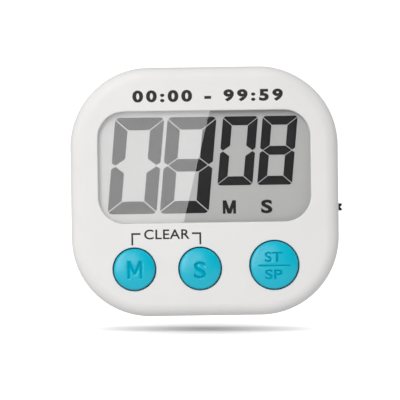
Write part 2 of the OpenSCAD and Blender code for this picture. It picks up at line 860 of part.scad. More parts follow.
module watch_crystal() {
    color("silver") translate([crystal_x, board_back_y + crystal_d / 2, crystal_z])
        rotate([0, 90, 0]) cylinder(d = crystal_d, h = crystal_l);
}

// Resistors and capacitors soldered to the back of the board
module surface_parts() {
    color("tan") for (i = [0 : 3], j = [0 : 1]) {
        translate([chip_x + chip_pitch_x * i, board_back_y, chip_z + chip_pitch_z * j])
            cube([chip_l, chip_h, chip_w]);
    }
}

module board_screws() {
    color("silver") for (p = board_screw_places) {
        screw(p, board_screw_r, board_back_y - inner_front_y - thread_end, board_head_r,
            board_head_h, board_back_y);
    }
}

// -------------------------------------------------------------- keypad and buttons

module rubber_keypad() {
    half_w = case_screw_places[1][0] - boss_r - boss_clear;
    top_z = holder_low_z - 1.5 * play;
    color("lightgray") difference() {
        union() {
            slab(board_front_y - sheet_t, board_front_y) difference() {
                translate([0, (keypad_low_z + top_z) / 2])
                    round_rect(2 * half_w, top_z - keypad_low_z, keypad_r);
                for (b = buttons) translate([b[0], b[1]]) circle(dome_r - dome_t);
            }
            for (b = buttons) {
                translate([b[0], 0, b[1]]) toward_front(board_front_y) rotate_extrude() dome_profile();
            }
        }
        for (p = [board_screw_places[0], board_screw_places[1]]) {
            rod(p, board_boss_r + play, board_front_y - sheet_t - over, board_front_y + over);
        }
    }
}

// Section of one dome, its key and the hollow for the pill
module dome_profile() {
    bottom = pill_h + pill_t;
    polygon([
        [0, bottom],
        [key_r - 0.6 * dome_t, bottom],
        [dome_r - dome_t, sheet_t],
        [dome_r, sheet_t],
        [key_r, bottom + dome_t],
        [key_r, key_h],
        [0, key_h]
    ]);
}

module pill(b) {
    color("black") rod(b, pill_r, board_front_y - pill_h - pill_t, board_front_y - pill_h);
}

module minute_pill() {
    pill(minute);
}

module second_pill() {
    pill(second);
}

module start_stop_pill() {
    pill(start_stop);
}

// Push button cap: flange behind the wall, crowned face, hollow underside round a post
module button_cap(b) {
    rim_h = flange_t + front_wall + button_rise;
    ball_r = (pow(b[2], 2) + pow(button_crown, 2)) / (2 * button_crown);
    color("deepskyblue") translate([b[0], 0, b[1]]) toward_front(key_top_y) rotate_extrude()
        difference() {
            union() {
                square([b[2] + flange_w, flange_t]);
                intersection() {
                    edge_profile(b[2], rim_h + button_crown, button_edge_r);
                    translate([0, rim_h + button_crown - ball_r]) circle(ball_r, $fn = 360);
                }
            }
            translate([key_r, -over]) square([b[2] - cap_wall - key_r, rim_h - 1.2 + over]);
        }
}

module minute_button() {
    button_cap(minute);
}

module second_button() {
    button_cap(second);
}

module start_stop_button() {
    button_cap(start_stop);
}

// -------------------------------------------------------------- slide switch

// Steel shell, open towards the board, with the window that the knob slides in
module switch_housing() {
    window_l = knob_h + knob_travel + 2 * play;
    color("silver") difference() {
        translate([switch_x - switch_d, board_back_y, knob_mid_z - switch_l / 2])
            cube([switch_d, switch_t, switch_l]);
        translate([switch_x - switch_d + switch_steel, board_back_y - over,
            knob_mid_z - switch_l / 2 + switch_steel])
            cube([switch_d - 2 * switch_steel, switch_t - switch_steel + over,
                switch_l - 2 * switch_steel]);
        translate([switch_x - over, knob_y - knob_t / 2 - play, knob_mid_z - window_l / 2])
            cube([2 * over, knob_t + 2 * play, window_l]);
    }
}

// Insulating base with three pins soldered through the board
module switch_base() {
    x0 = switch_x - switch_d + switch_steel;
    leg_x = x0 + switch_base_t / 2;
    leg_t = 0.3;
    color("saddlebrown") {
        translate([x0, board_back_y, knob_mid_z - switch_l / 2 + switch_steel])
            cube([switch_base_t, switch_t - switch_steel, switch_l - 2 * switch_steel]);
        for (i = [-1 : 1]) {
            leg_z = knob_mid_z + i * pin_pitch;
            rod([switch_pin_x, leg_z], switch_pin_r, board_front_y - leg_t, board_back_y + leg_t);
            translate([leg_x, board_back_y, leg_z - switch_pin_r])
                cube([switch_pin_x - leg_x, leg_t, 2 * switch_pin_r]);
        }
    }
}

// Knob with a grip notch outside and the slider that keeps it in
module switch_knob() {
    x0 = switch_x - switch_steel - slider_t - seat;
    tip_x = body_w / 2 + knob_out;
    color("black") difference() {
        union() {
            translate([x0 + slider_t, knob_y - knob_t / 2, knob_z - knob_h / 2])
                cube([tip_x - x0 - slider_t, knob_t, knob_h]);
            translate([x0, knob_y - knob_t / 2 - slider_side, knob_z - knob_h / 2 - slider_end])
                cube([slider_t, knob_t + 2 * slider_side, knob_h + 2 * slider_end]);
        }
        translate([tip_x, knob_y - knob_t, knob_z]) rotate([0, 45, 0])
            translate([-notch / 2, 0, -notch / 2]) cube([notch, 2 * knob_t, notch]);
    }
}

// -------------------------------------------------------------- battery

// Cell with a flat minus end, a rolled jacket edge and the plus nub
module battery() {
    nub_l = 1;
    nub_r = 1.9;
    edge = 0.3;
    minus_r = battery_d / 2 - 1.5;
    color("slategray") translate([battery_x - battery_l / 2, battery_y, battery_z])
        rotate([0, 90, 0]) rotate_extrude() {
            square([minus_r, 1]);
            translate([0, edge]) polygon([
                [0, 0],
                [battery_d / 2 - edge, 0],
                [battery_d / 2, edge],
                [battery_d / 2, battery_l - nub_l - 2 * edge],
                [battery_d / 2 - edge, battery_l - nub_l - edge],
                [0, battery_l - nub_l - edge]
            ]);
            square([nub_r, battery_l]);
        }
}

// Flat contact plate against an end wall, its solder tail through the wall
module contact_plate(side) {
    plate_h = bay_h - 1;
    plate_d = back_y - door_t - bay_bottom_y - 1;
    tail = plate_t + bay_wall + tail_l;
    translate([side * (bay_l / 2 - plate_t / 2), (bay_bottom_y + back_y - door_t) / 2, battery_z])
        cube([plate_t, plate_d, plate_h], center = true);
    translate([side * (bay_l / 2 - plate_t + tail / 2), battery_y, battery_z])
        cube([tail, tail_w, plate_t], center = true);
}

module plus_contact() {
    color("silver") {
        contact_plate(1);
        translate([bay_l / 2 - plate_t - bump_h, battery_y, battery_z]) rotate([0, 90, 0])
            cylinder(r1 = 1.2, r2 = 2.4, h = bump_h);
    }
}

// Points of a ring of the spring's wire at turn angle a
function spring_centre(a, turns) = let(
    t = a / (360 * turns),
    r = 3.6 - 1.4 * t
) [t * (spring_l - spring_wire) + spring_wire / 2, r * cos(a), r * sin(a)];

function spring_ring(a, turns, sides) = let(c = spring_centre(a, turns)) [
    for (k = [0 : sides - 1]) let(
        b = k * 360 / sides,
        out = spring_wire / 2 * cos(b),
        up = spring_wire / 2 * sin(b)
    ) [c[0] + up, c[1] + out * cos(a), c[2] + out * sin(a)]
];

module minus_contact() {
    turns = 3;
    steps = 54;
    sides = 8;
    rings = [for (i = [0 : steps]) each spring_ring(i * 360 * turns / steps, turns, sides)];
    skin = [
        for (i = [0 : steps - 1], k = [0 : sides - 1]) [
            i * sides + k,
            i * sides + (k + 1) % sides,
            (i + 1) * sides + (k + 1) % sides,
            (i + 1) * sides + k
        ]
    ];
    first_cap = [for (k = [sides - 1 : -1 : 0]) k];
    last_cap = [for (k = [0 : sides - 1]) steps * sides + k];
    color("silver") {
        contact_plate(-1);
        translate([-bay_l / 2 + plate_t - 0.05, battery_y, battery_z])
            polyhedron(points = rings, faces = concat(skin, [first_cap, last_cap]));
    }
}

// Door with two tongues at its lower edge and a springy finger at its upper edge
module battery_door() {
    door_top_z = battery_z + door_h / 2;
    color("white") {
        difference() {
            slab(back_y - door_t, back_y) translate([0, battery_z])
                round_rect(door_w, door_h, door_r);
            for (side = [-1, 1]) {
                translate([side * finger_w / 2 - slit / 2, back_y - door_t - over,
                    door_top_z - finger_l])
                    cube([slit, door_t + 2 * over, finger_l + over]);
            }
            for (i = [1 : 3]) {
                translate([-finger_w / 2 + grip_pitch, back_y - grip_t,
                    door_top_z - grip_w - grip_pitch * i])
                    cube([finger_w - 2 * grip_pitch, grip_t + over, grip_w]);
            }
        }
        for (side = [-1, 1]) {
            translate([side * tongue_x - tongue_w / 2, back_y - door_t - tongue_t - tongue_drop,
                door_low_z - tongue_l])
                cube([tongue_w, tongue_t, tongue_l + 1.5]);
            translate([side * tongue_x - tongue_w / 2, back_y - door_t - 0.5, door_low_z + 0.3])
                cube([tongue_w, 1, 1.2]);
        }
    }
}

// -------------------------------------------------------------- stand, magnet, sounder

// Folding stand: plate with a round root, two pins, and pockets on the hidden side
module stand() {
    tip_r = 4;
    rim = 2.4;
    pocket_t = 1;
    pocket_w = (stand_w - 3 * rim) / 2;
    color("white") {
        difference() {
            slab(stand_y - stand_t / 2, stand_y + stand_t / 2) {
                translate([-stand_w / 2, stand_z]) square([stand_w, stand_l - tip_r]);
                translate([-stand_w / 2 + tip_r, stand_z]) square([stand_w - 2 * tip_r, stand_l]);
                for (side = [-1, 1]) {
                    translate([side * (stand_w / 2 - tip_r), stand_z + stand_l - tip_r])
                        circle(tip_r);
                }
            }
            for (side = [-1, 1]) {
                slab(stand_y - stand_t / 2 - over, stand_y - stand_t / 2 + pocket_t)
                    translate([side * (pocket_w + rim) / 2, stand_z + stand_l / 2 + 0.5])
                        round_rect(pocket_w, stand_l - 2 * rim - 1, 2);
            }
        }
        translate([-stand_w / 2, stand_y, stand_z]) rotate([0, 90, 0])
            cylinder(r = stand_t / 2, h = stand_w);
        translate([-stand_w / 2 - pin_l, stand_y, stand_z]) rotate([0, 90, 0])
            cylinder(r = pin_r, h = stand_w + 2 * pin_l);
    }
}

module magnet() {
    color("dimgray") rod([side_x, side_z], magnet_d / 2, back_y - magnet_t - seat, back_y - seat);
}

module buzzer_disc() {
    seat_y = inner_back_y - chamber_t;
    color("gold") rod([-side_x, side_z], brass_d / 2, seat_y - disc_t, seat_y);
}

module buzzer_ceramic() {
    seat_y = inner_back_y - chamber_t - disc_t;
    color("white") rod([-side_x, side_z], ceramic_d / 2, seat_y - disc_t, seat_y);
}

// -------------------------------------------------------------- wire leads

// Point of a smooth curve with four control points, and its heading there
function bezier(p, t) = let(s = 1 - t)
    s * s * s * p[0] + 3 * s * s * t * p[1] + 3 * s * t * t * p[2] + t * t * t * p[3];
function heading(p, t) = let(
    s = 1 - t,
    v = s * s * (p[1] - p[0]) + 2 * s * t * (p[2] - p[1]) + t * t * (p[3] - p[2])
) v / norm(v);

// Points of the wire's ring at share t of the curve; its ends lie square to Y
function lead_ring(p, t, sides) = let(
    along = heading(p, t),
    square_on = cross(along, [1, 0, 0]),
    up = square_on / norm(square_on),
    aside = cross(up, along)
) [
    for (k = [0 : sides - 1]) let(b = k * 360 / sides)
        bezier(p, t) + lead_d / 2 * (cos(b) * aside + sin(b) * up)
];

// Round tube along such a curve
module lead(p) {
    steps = 14;
    sides = 8;
    points = [for (i = [0 : steps]) each lead_ring(p, i / steps, sides)];
    skin = [
        for (i = [0 : steps - 1], k = [0 : sides - 1]) [
            i * sides + k,
            (i + 1) * sides + k,
            (i + 1) * sides + (k + 1) % sides,
            i * sides + (k + 1) % sides
        ]
    ];
    first_cap = [for (k = [0 : sides - 1]) k];
    last_cap = [for (k = [sides - 1 : -1 : 0]) steps * sides + k];
    polyhedron(points = points, faces = concat(skin, [first_cap, last_cap]));
}

module buzzer_leads() {
    top_y = inner_back_y - chamber_t - 2 * disc_t;
    for (i = [0, 1]) {
        spot = [-side_x, side_z] + buzzer_spots[i];
        pad_x = buzzer_pad_x - i * buzzer_pad_pitch;
        color(i == 0 ? "red" : "black") lead([
            [spot[0], top_y, spot[1]], [spot[0], lead_y, spot[1]],
            [pad_x, lead_y, buzzer_pad_z], [pad_x, board_back_y, buzzer_pad_z]
        ]);
    }
}

module battery_leads() {
    tail_x = bay_l / 2 + bay_wall + tail_l - lead_d / 2 - play;
    pad_x = tail_x + battery_lead_out;
    pad_z = battery_z - battery_lead_drop;
    for (side = [-1, 1]) {
        color(side > 0 ? "red" : "black") lead([
            [side * tail_x, battery_y - tail_w / 2, battery_z],
            [side * tail_x, battery_y - tail_w / 2 - lead_y, battery_z],
            [side * pad_x, lead_y - lead_d, pad_z],
            [side * pad_x, board_back_y, pad_z]
        ]);
    }
}

// -------------------------------------------------------------- choice of node

front_cover();
back_cover();
display_lens();
lcd_front_film();
lcd_front_glass();
lcd_rear_glass();
lcd_reflector();
lcd_holder();
zebra_strip();
circuit_board();
chip_blob();
watch_crystal();
surface_parts();
board_screws();
rubber_keypad();
minute_pill();
second_pill();
start_stop_pill();
minute_button();
second_button();
start_stop_button();
switch_housing();
switch_base();
switch_knob();
battery();
plus_contact();
minus_contact();
battery_door();
stand();
magnet();
buzzer_disc();
buzzer_ceramic();
buzzer_leads();
battery_leads();
case_screws();
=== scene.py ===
# %% [markdown]
# # A digital kitchen timer
#
# The object is a small countdown timer: a white moulded case in two shells, a big
# liquid crystal display behind a clear lens, three blue push buttons and a slide
# switch on its right side. The CAD model already holds every part at its true size.
# Blender adds what CAD leaves out: finishes, printed and engraved marks, the
# segments of the display, light and a camera.

# %% Load the model
import math

import bmesh
import bpy
from mathutils import Matrix, Vector


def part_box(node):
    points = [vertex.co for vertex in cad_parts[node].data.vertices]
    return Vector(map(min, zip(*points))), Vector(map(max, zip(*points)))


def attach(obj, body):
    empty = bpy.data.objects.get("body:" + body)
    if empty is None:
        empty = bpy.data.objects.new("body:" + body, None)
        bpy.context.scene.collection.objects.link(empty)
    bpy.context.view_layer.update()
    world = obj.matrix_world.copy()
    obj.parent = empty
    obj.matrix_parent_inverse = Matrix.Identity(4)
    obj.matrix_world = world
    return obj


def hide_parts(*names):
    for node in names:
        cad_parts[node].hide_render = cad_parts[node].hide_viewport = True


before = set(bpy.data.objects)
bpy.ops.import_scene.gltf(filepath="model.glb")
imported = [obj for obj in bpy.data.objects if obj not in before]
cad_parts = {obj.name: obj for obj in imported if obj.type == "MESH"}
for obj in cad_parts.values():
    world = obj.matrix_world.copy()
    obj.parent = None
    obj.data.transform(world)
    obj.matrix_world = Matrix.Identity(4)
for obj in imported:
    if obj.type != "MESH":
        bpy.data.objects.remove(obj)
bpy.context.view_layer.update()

# %% [markdown]
# ## Measures
#
# Every place in this file is worked out from the boxes of the CAD parts, in metres.
# X runs to the right, Z runs up, and the face of the timer looks towards -Y. Small
# sizes are easier to read in millimetres, so one value turns them into metres.

# %% Measures
MM = 0.001


def middle(node):
    """The centre of a CAD part's box."""
    low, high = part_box(node)
    return (low + high) / 2


case_low, case_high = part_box("front_cover")
case_middle = middle("front_cover")
lens_low, lens_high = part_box("display_lens")
lens_middle = middle("display_lens")
minute_place, second_place = middle("minute_button"), middle("second_button")
FACE_Y = case_low.y
FILM_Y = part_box("lcd_front_film")[0].y
print("case, mm:", [round(side / MM, 2) for side in case_high - case_low])
print("room between lens and film, mm:", round((FILM_Y - lens_high.y) / MM, 3))

# %% [markdown]
# ## Camera
#
# A product shot of something this flat is taken with a long lens from over a metre
# away, so that its sides stay parallel. The camera looks slightly down and is turned
# by less than a degree about its own axis, as one that was levelled by eye. Moving
# the camera and not the object keeps the CAD in place.

# %% Camera
CAMERA_DISTANCE = 1.2
VIEW_WIDTH = 111.95 * MM
LOOK_DOWN = math.radians(2.7)
LOOK_FROM_LEFT = math.radians(0.3)
CAMERA_ROLL = math.radians(-0.8)
AIM_ASIDE, AIM_BELOW = 1.38 * MM, 2.10 * MM

aim = Vector((case_middle.x - AIM_ASIDE, FACE_Y, case_middle.z - AIM_BELOW))
outward = Vector((
    -math.sin(LOOK_FROM_LEFT) * math.cos(LOOK_DOWN),
    -math.cos(LOOK_FROM_LEFT) * math.cos(LOOK_DOWN),
    math.sin(LOOK_DOWN),
))
camera_data = bpy.data.cameras.new("product_camera")
camera_data.lens = camera_data.sensor_width * CAMERA_DISTANCE / VIEW_WIDTH
camera = bpy.data.objects.new("product_camera", camera_data)
turn = (-outward).to_track_quat("-Z", "Y").to_matrix().to_4x4()
camera.matrix_world = (
    Matrix.Translation(aim + outward * CAMERA_DISTANCE) @ turn @ Matrix.Rotation(CAMERA_ROLL, 4, "Z")
)
bpy.context.scene.collection.objects.link(camera)
bpy.context.scene.camera = camera
print("lens, mm:", round(camera_data.lens), "camera at:", [round(v, 3) for v in camera.location])

# %% [markdown]
# ## Shader helpers
#
# The floor, the room and every finish are small node trees that repeat a few moves: a
# new material, a node with some inputs set, one range of numbers turned into another.
# Each move is a helper, so that the cells below say only what a surface is like.

# %% Shader helpers
RANGE_ENDS = ("From Min", "From Max", "To Min", "To Max")


def new_material(name):
    """A material with one Principled shader, ready for its nodes."""
    material = bpy.data.materials.new(name)
    material.use_nodes = True
    return material


def shader_of(material):
    """The Principled shader of a new material."""
    return material.node_tree.nodes["Principled BSDF"]


def shader_node(tree, kind, **values):
    """A new node with these inputs set. An underscore in a name stands for a space."""
    node = tree.nodes.new(kind)
    for name, value in values.items():
        node.inputs[name.replace("_", " ")].default_value = value
    return node


def ranged(tree, value, *ends):
    """Turns a range of value into another. Each end is a float or another node's output."""
    node = tree.nodes.new("ShaderNodeMapRange")
    tree.links.new(value, node.inputs["Value"])
    for name, end in zip(RANGE_ENDS, ends):
        if isinstance(end, float):
            node.inputs[name].default_value = end
        else:
            tree.links.new(end, node.inputs[name])
    return node.outputs[0]


print("a range has these ends:", RANGE_ENDS)

# %% [markdown]
# ## Floor
#
# A plain white light table: a translucent sheet that also glows from below, which
# studios use for a pure white ground that still takes a soft shadow. Part of that
# shadow is painted: the glow is nil close round the object and rises to full further
# away, which sets how long the shadow is. The camera sees a bright sheet and every
# other ray a dim one, as if a black cloth lay just outside the view: that keeps the
# underside of the case in shade and the colour of the buttons pure. It isn't glossy,
# because a glossy table would mirror the case at this low angle.

# %% Light table
FLOOR_WHITE, DIMMED_WHITE = 0.78, 0.2
# Painted shadow: the floor glows not at all near the object and fully beyond the reach.
GLOW_IN_PAINTED_SHADOW, FLOOR_GLOW_FAR, DIMMED_GLOW = 0.0, 0.74, 0.5
PAINTED_SHADOW_CORE, PAINTED_SHADOW_REACH = 2.5 * MM, 40.0 * MM


def light_table_painted_shadow():
    """A white sheet whose glow paints a shadow: none near the object, full further away, and dim for all
    but the camera.
    """
    sheet = new_material("light_table_painted_shadow")
    tree, shader = sheet.node_tree, shader_of(sheet)
    shader.inputs["Roughness"].default_value = 1.0
    shader.inputs["Specular IOR Level"].default_value = 0.0
    shader.inputs["Emission Color"].default_value = (1, 1, 1, 1)
    from_object = tree.nodes.new("ShaderNodeVectorMath")
    from_object.operation = "LENGTH"
    tree.links.new(tree.nodes.new("ShaderNodeTexCoord").outputs["Object"], from_object.inputs[0])
    distance = from_object.outputs["Value"]
    # Painted shadow: the glow rises from nothing at the object to full at the reach.
    glow = ranged(tree, distance, PAINTED_SHADOW_CORE, PAINTED_SHADOW_REACH, GLOW_IN_PAINTED_SHADOW, FLOOR_GLOW_FAR)
    camera_ray = tree.nodes.new("ShaderNodeLightPath").outputs["Is Camera Ray"]
    glow_and_painted_shadow = ranged(tree, camera_ray, 0.0, 1.0, DIMMED_GLOW, glow)
    seen_white = ranged(tree, camera_ray, 0.0, 1.0, DIMMED_WHITE, FLOOR_WHITE)
    tree.links.new(glow_and_painted_shadow, shader.inputs["Emission Strength"])
    tree.links.new(seen_white, shader.inputs["Base Color"])
    return sheet


painted_shadow_sheet = light_table_painted_shadow()
print("the floor's full glow begins at, mm:", round(PAINTED_SHADOW_REACH / MM))

# %% [markdown]
# The floor lies a few millimetres under the case, so the shadow falls clear of it. It
# leans with the camera's roll, so the shadow lies level in the view. One rectangle
# is enough, and a card that comes later is made by the same helper.

# %% Floor
FLOOR_DROP = 4.2 * MM
FLOOR_FRONT, FLOOR_BACK, FLOOR_HALF = -0.2, 8.0, 6.0
FLOOR_LEAN = math.tan(CAMERA_ROLL)
# The corners of any rectangle, as how far right and above its middle they lie
CORNERS = ((-1, -1), (1, -1), (1, 1), (-1, 1))


def rectangle(name, corners, material):
    """A rectangle of four corners with one material."""
    mesh = bpy.data.meshes.new(name)
    mesh.from_pydata(corners, [], [(0, 1, 2, 3)])
    mesh.materials.append(material)
    piece = bpy.data.objects.new(name, mesh)
    bpy.context.scene.collection.objects.link(piece)
    return piece


floor_z = case_low.z - FLOOR_DROP
floor_corners = []
for right, above in CORNERS:
    x, y = right * FLOOR_HALF, FLOOR_BACK if above > 0 else FLOOR_FRONT
    floor_corners.append((x, y, floor_z + x * FLOOR_LEAN))
floor = rectangle("floor", floor_corners, painted_shadow_sheet)
print("floor at z, mm:", round(floor_z / MM, 2))

# %% [markdown]
# ## Light
#
# A softbox stands to the left of the camera and lights the face. The clear lens over
# the display mirrors it, and the straight right edge of the softbox shows as a
# slanted border across the display: pale on the left, true colours on the right.
# The place of that edge isn't guessed. Two points of the lens are chosen for the
# border to pass, and each line of sight is mirrored there to find the softbox.

# %% Softbox beside the camera
GLARE_TOP = (2.0 * MM, lens_high.z - 0.3 * MM)
GLARE_BOTTOM = (-6.4 * MM, lens_low.z + 0.2 * MM)
SOFTBOX_WIDTH, SOFTBOX_HEIGHT = 0.26, 0.40
SOFTBOX_RAISED = 0.17
SOFTBOX_GLOW = 3.1


def mirrored_in_lens(x, z, plane_y):
    """Where the line of sight to a point of the lens goes after the mirror, on a plane across Y."""
    point = Vector((x, lens_low.y, z))
    sight = point - camera.location
    leaving = Vector((sight.x, -sight.y, sight.z))
    return point + leaving * ((plane_y - point.y) / leaving.y)


def softbox(name, centre, across, up, glow, width, height):
    """A rectangular light that shines along across x up, as bright as glow all over."""
    light = bpy.data.lights.new(name, "AREA")
    light.shape = "RECTANGLE"
    light.size, light.size_y = width, height
    light.energy = glow * math.pi * width * height
    lamp = bpy.data.objects.new(name, light)
    back = across.cross(up)
    lamp.matrix_world = Matrix.Translation(centre) @ Matrix((
        (across.x, up.x, back.x, 0),
        (across.y, up.y, back.y, 0),
        (across.z, up.z, back.z, 0),
        (0, 0, 0, 1),
    ))
    bpy.context.scene.collection.objects.link(lamp)
    return lamp


edge_top = mirrored_in_lens(*GLARE_TOP, camera.location.y)
edge_bottom = mirrored_in_lens(*GLARE_BOTTOM, camera.location.y)
edge_up = (edge_top - edge_bottom).normalized()
edge_across = Vector((edge_up.z, 0, -edge_up.x))
key_centre = edge_bottom - edge_across * SOFTBOX_WIDTH / 2 + edge_up * SOFTBOX_RAISED
key_lamp = softbox("key_softbox", key_centre, edge_across, edge_up,
                   SOFTBOX_GLOW, SOFTBOX_WIDTH, SOFTBOX_HEIGHT)
print("softbox edge leans, degrees:", round(math.degrees(math.atan2(edge_up.x, edge_up.z)), 1))

# %% [markdown]
# Four more lamps, each for one job. A small softbox hangs close above, so its light
# falls off down the face. A tall one stands further to the left, and is there twice:
# the first lights only the buttons, whose glossy domes mirror it as a pale sheen, and
# the second lights everything else. Neither the top one nor this second one may be
# mirrored, because at a grazing angle they would bleach the edges of the case when it
# is seen from behind. The last hangs straight above and lights only the floor, so the
# shadow's depth is set apart from the object's light.

# %% Overhead, side and floor softboxes
TOP_SIDE, TOP_GLOW = 0.25, 6.4
TOP_PLACE = Vector((-0.15, -0.38, 0.30))
SIDE_PLACE = Vector((-0.47, -1.1, 0.22))
SIDE_WIDTH, SIDE_HEIGHT, SIDE_GLOW = 0.36, 0.64, 4.7
FILL_GLOW = 4.3
FLOOR_LAMP_WIDTH, FLOOR_LAMP_DEPTH, FLOOR_LAMP_GLOW = 0.8, 0.5, 1.5
FLOOR_LAMP_PLACE = Vector((0, case_middle.y, 0.6))


def facing_case(place):
    """The directions across and up of a lamp at place that faces the middle of the case."""
    back = (place - case_middle).normalized()
    across = Vector((0, 0, 1)).cross(back).normalized()
    return across, back.cross(across)


top_facing, side_facing = facing_case(TOP_PLACE), facing_case(SIDE_PLACE)
top_lamp = softbox("top_softbox", TOP_PLACE, *top_facing, TOP_GLOW, TOP_SIDE, TOP_SIDE)
side_lamp = softbox("side_softbox", SIDE_PLACE, *side_facing, SIDE_GLOW, SIDE_WIDTH, SIDE_HEIGHT)
fill_lamp = softbox("fill_softbox", SIDE_PLACE, *side_facing, FILL_GLOW, SIDE_WIDTH, SIDE_HEIGHT)
for lamp in (top_lamp, fill_lamp):
    lamp.visible_glossy = False
floor_lamp = softbox("floor_softbox", FLOOR_LAMP_PLACE, Vector((1, 0, 0)), Vector((0, 1, 0)),
                     FLOOR_LAMP_GLOW, FLOOR_LAMP_WIDTH, FLOOR_LAMP_DEPTH)
print("softboxes:", [lamp.name for lamp in (key_lamp, top_lamp, side_lamp, fill_lamp, floor_lamp)])

# %% [markdown]
# Light linking says what each lamp lights: a lamp gets a collection of receivers, each
# marked as included or left out. The floor has its own lamp, so the others leave it
# out. The side and fill softboxes are linked further down, once the caps exist.

# %% What each lamp lights
def light_link(lamp, pieces, state):
    """Lets a lamp light only these pieces (INCLUDE), or all but these (EXCLUDE)."""
    receivers = bpy.data.collections.new(lamp.name + "_receivers")
    for piece in pieces:
        receivers.objects.link(piece)
    for receiver in receivers.collection_objects:
        receiver.light_linking.link_state = state
    lamp.light_linking.receiver_collection = receivers


for lamp, state in ((key_lamp, "EXCLUDE"), (top_lamp, "EXCLUDE"), (floor_lamp, "INCLUDE")):
    light_link(lamp, [floor], state)
print("only the floor:", floor_lamp.name, "all but the floor:", key_lamp.name, top_lamp.name)

# %% [markdown]
# ## Room
#
# A pale room fills in the rest. It is a little brighter on the right, which lifts the
# side that the lamps miss, and the camera sees it as pure white. The plain view
# transform keeps it white, where a filmic one would turn it grey.

# %% Room
ROOM_LEFT, ROOM_RIGHT, ROOM_SEEN = 0.6, 0.78, 1.2
ROOM_ABOVE, ROOM_BELOW, HORIZON_SOFT = 0.55, 0.55, 0.25

world = bpy.data.worlds.new("studio")
world.use_nodes = True
bpy.context.scene.world = world
bpy.context.scene.view_settings.view_transform = "Standard"
sky = world.node_tree
backdrop = sky.nodes["Background"]
backdrop.inputs["Color"].default_value = (1, 1, 1, 1)
direction = sky.nodes.new("ShaderNodeSeparateXYZ")
sky.links.new(sky.nodes.new("ShaderNodeTexCoord").outputs["Generated"], direction.inputs[0])
sideways = ranged(sky, direction.outputs["X"], -1.0, 1.0, ROOM_LEFT, ROOM_RIGHT)
upwards = ranged(sky, direction.outputs["Z"], -HORIZON_SOFT, HORIZON_SOFT, ROOM_BELOW, sideways)
room = ranged(sky, direction.outputs["Z"], HORIZON_SOFT, 1.0, upwards, ROOM_ABOVE)
seen = sky.nodes.new("ShaderNodeLightPath").outputs["Is Camera Ray"]
sky.links.new(ranged(sky, seen, 0.0, 1.0, room, ROOM_SEEN), backdrop.inputs["Strength"])
print("room glow, left and right:", ROOM_LEFT, ROOM_RIGHT)

# %% [markdown]
# A black card takes light away, which keeps dark things dark. It stands behind the
# camera, where the right half of the lens mirrors it, so the segments stay black
# there. The camera doesn't see the card.

# %% Black card
CARD_WIDTH, CARD_HEIGHT, CARD_BEHIND = 2.4, 1.9, 0.08
VELVET_GREY = 0.01

velvet = new_material("black_velvet")
shader_of(velvet).inputs["Base Color"].default_value = (VELVET_GREY, VELVET_GREY, VELVET_GREY, 1)
shader_of(velvet).inputs["Specular IOR Level"].default_value = 0.0
card_middle = Vector((0, camera.location.y - CARD_BEHIND, case_middle.z))
card_across, card_up = Vector((CARD_WIDTH / 2, 0, 0)), Vector((0, 0, CARD_HEIGHT / 2))
card_corners = [card_middle + card_across * right + card_up * above for right, above in CORNERS]
card = rectangle("card_behind_camera", card_corners, velvet)
card.visible_camera = False
print("black card at y, m:", round(card_middle.y, 2))

# %% [markdown]
# ## Moulded plastic
#
# Injection moulded ABS is never quite one colour or quite smooth: the tool is spark
# eroded or polished, and the melt leaves faint clouds. One helper makes all the
# opaque finishes. A broad noise drifts the colour by a few percent, a fine noise
# varies the gloss and lifts the surface by thousandths of a millimetre.

# %% Finish helper
CLOUDS_PER_METRE, CLOUD_DETAIL = 90.0, 2.0
CLOUD_DARK, CLOUD_LIGHT = 0.3, 0.7
GRAIN_DETAIL, GLOSS_DRIFT = 3.0, 0.04


def clouded(tree, place, colour, drift):
    """A colour that drifts with a broad noise."""
    clouds = shader_node(tree, "ShaderNodeTexNoise", Scale=CLOUDS_PER_METRE, Detail=CLOUD_DETAIL)
    tree.links.new(place, clouds.inputs["Vector"])
    ramp = tree.nodes.new("ShaderNodeValToRGB")
    stops = ramp.color_ramp.elements
    for stop, noise, factor in zip(stops, (CLOUD_DARK, CLOUD_LIGHT), (1 - drift, 1 + drift)):
        stop.position = noise
        stop.color = [min(1.0, channel * factor) for channel in colour] + [1]
    tree.links.new(clouds.outputs["Fac"], ramp.inputs["Fac"])
    return ramp.outputs["Color"]


def finish(name, colour, roughness, grain=0.25, lift=0.003, drift=0.03, metallic=0.0, shine=0.5,
           stretch=(1, 1, 1)):
    """An opaque finish. grain and lift are in millimetres: the size and the height of its texture."""
    material = new_material(name)
    tree, shader = material.node_tree, shader_of(material)
    shader.inputs["Metallic"].default_value = metallic
    shader.inputs["Specular IOR Level"].default_value = shine
    place = tree.nodes.new("ShaderNodeTexCoord").outputs["Object"]
    tree.links.new(clouded(tree, place, colour, drift), shader.inputs["Base Color"])
    laid = shader_node(tree, "ShaderNodeMapping", Scale=stretch)
    tree.links.new(place, laid.inputs["Vector"])
    fine = shader_node(tree, "ShaderNodeTexNoise", Scale=1 / (grain * MM), Detail=GRAIN_DETAIL)
    tree.links.new(laid.outputs["Vector"], fine.inputs["Vector"])
    gloss = ranged(tree, fine.outputs["Fac"], 0.0, 1.0, roughness - GLOSS_DRIFT, roughness + GLOSS_DRIFT)
    tree.links.new(gloss, shader.inputs["Roughness"])
    bump = shader_node(tree, "ShaderNodeBump", Strength=1.0, Distance=lift * MM)
    tree.links.new(fine.outputs["Fac"], bump.inputs["Height"])
    tree.links.new(bump.outputs["Normal"], shader.inputs["Normal"])
    return material


print("clouds are broad, mm:", round(1 / CLOUDS_PER_METRE / MM))

# %% [markdown]
# The three plastics that show from the front differ in colour and gloss. The case is
# a slightly warm white, the buttons are a little glossier, and the knob is black.

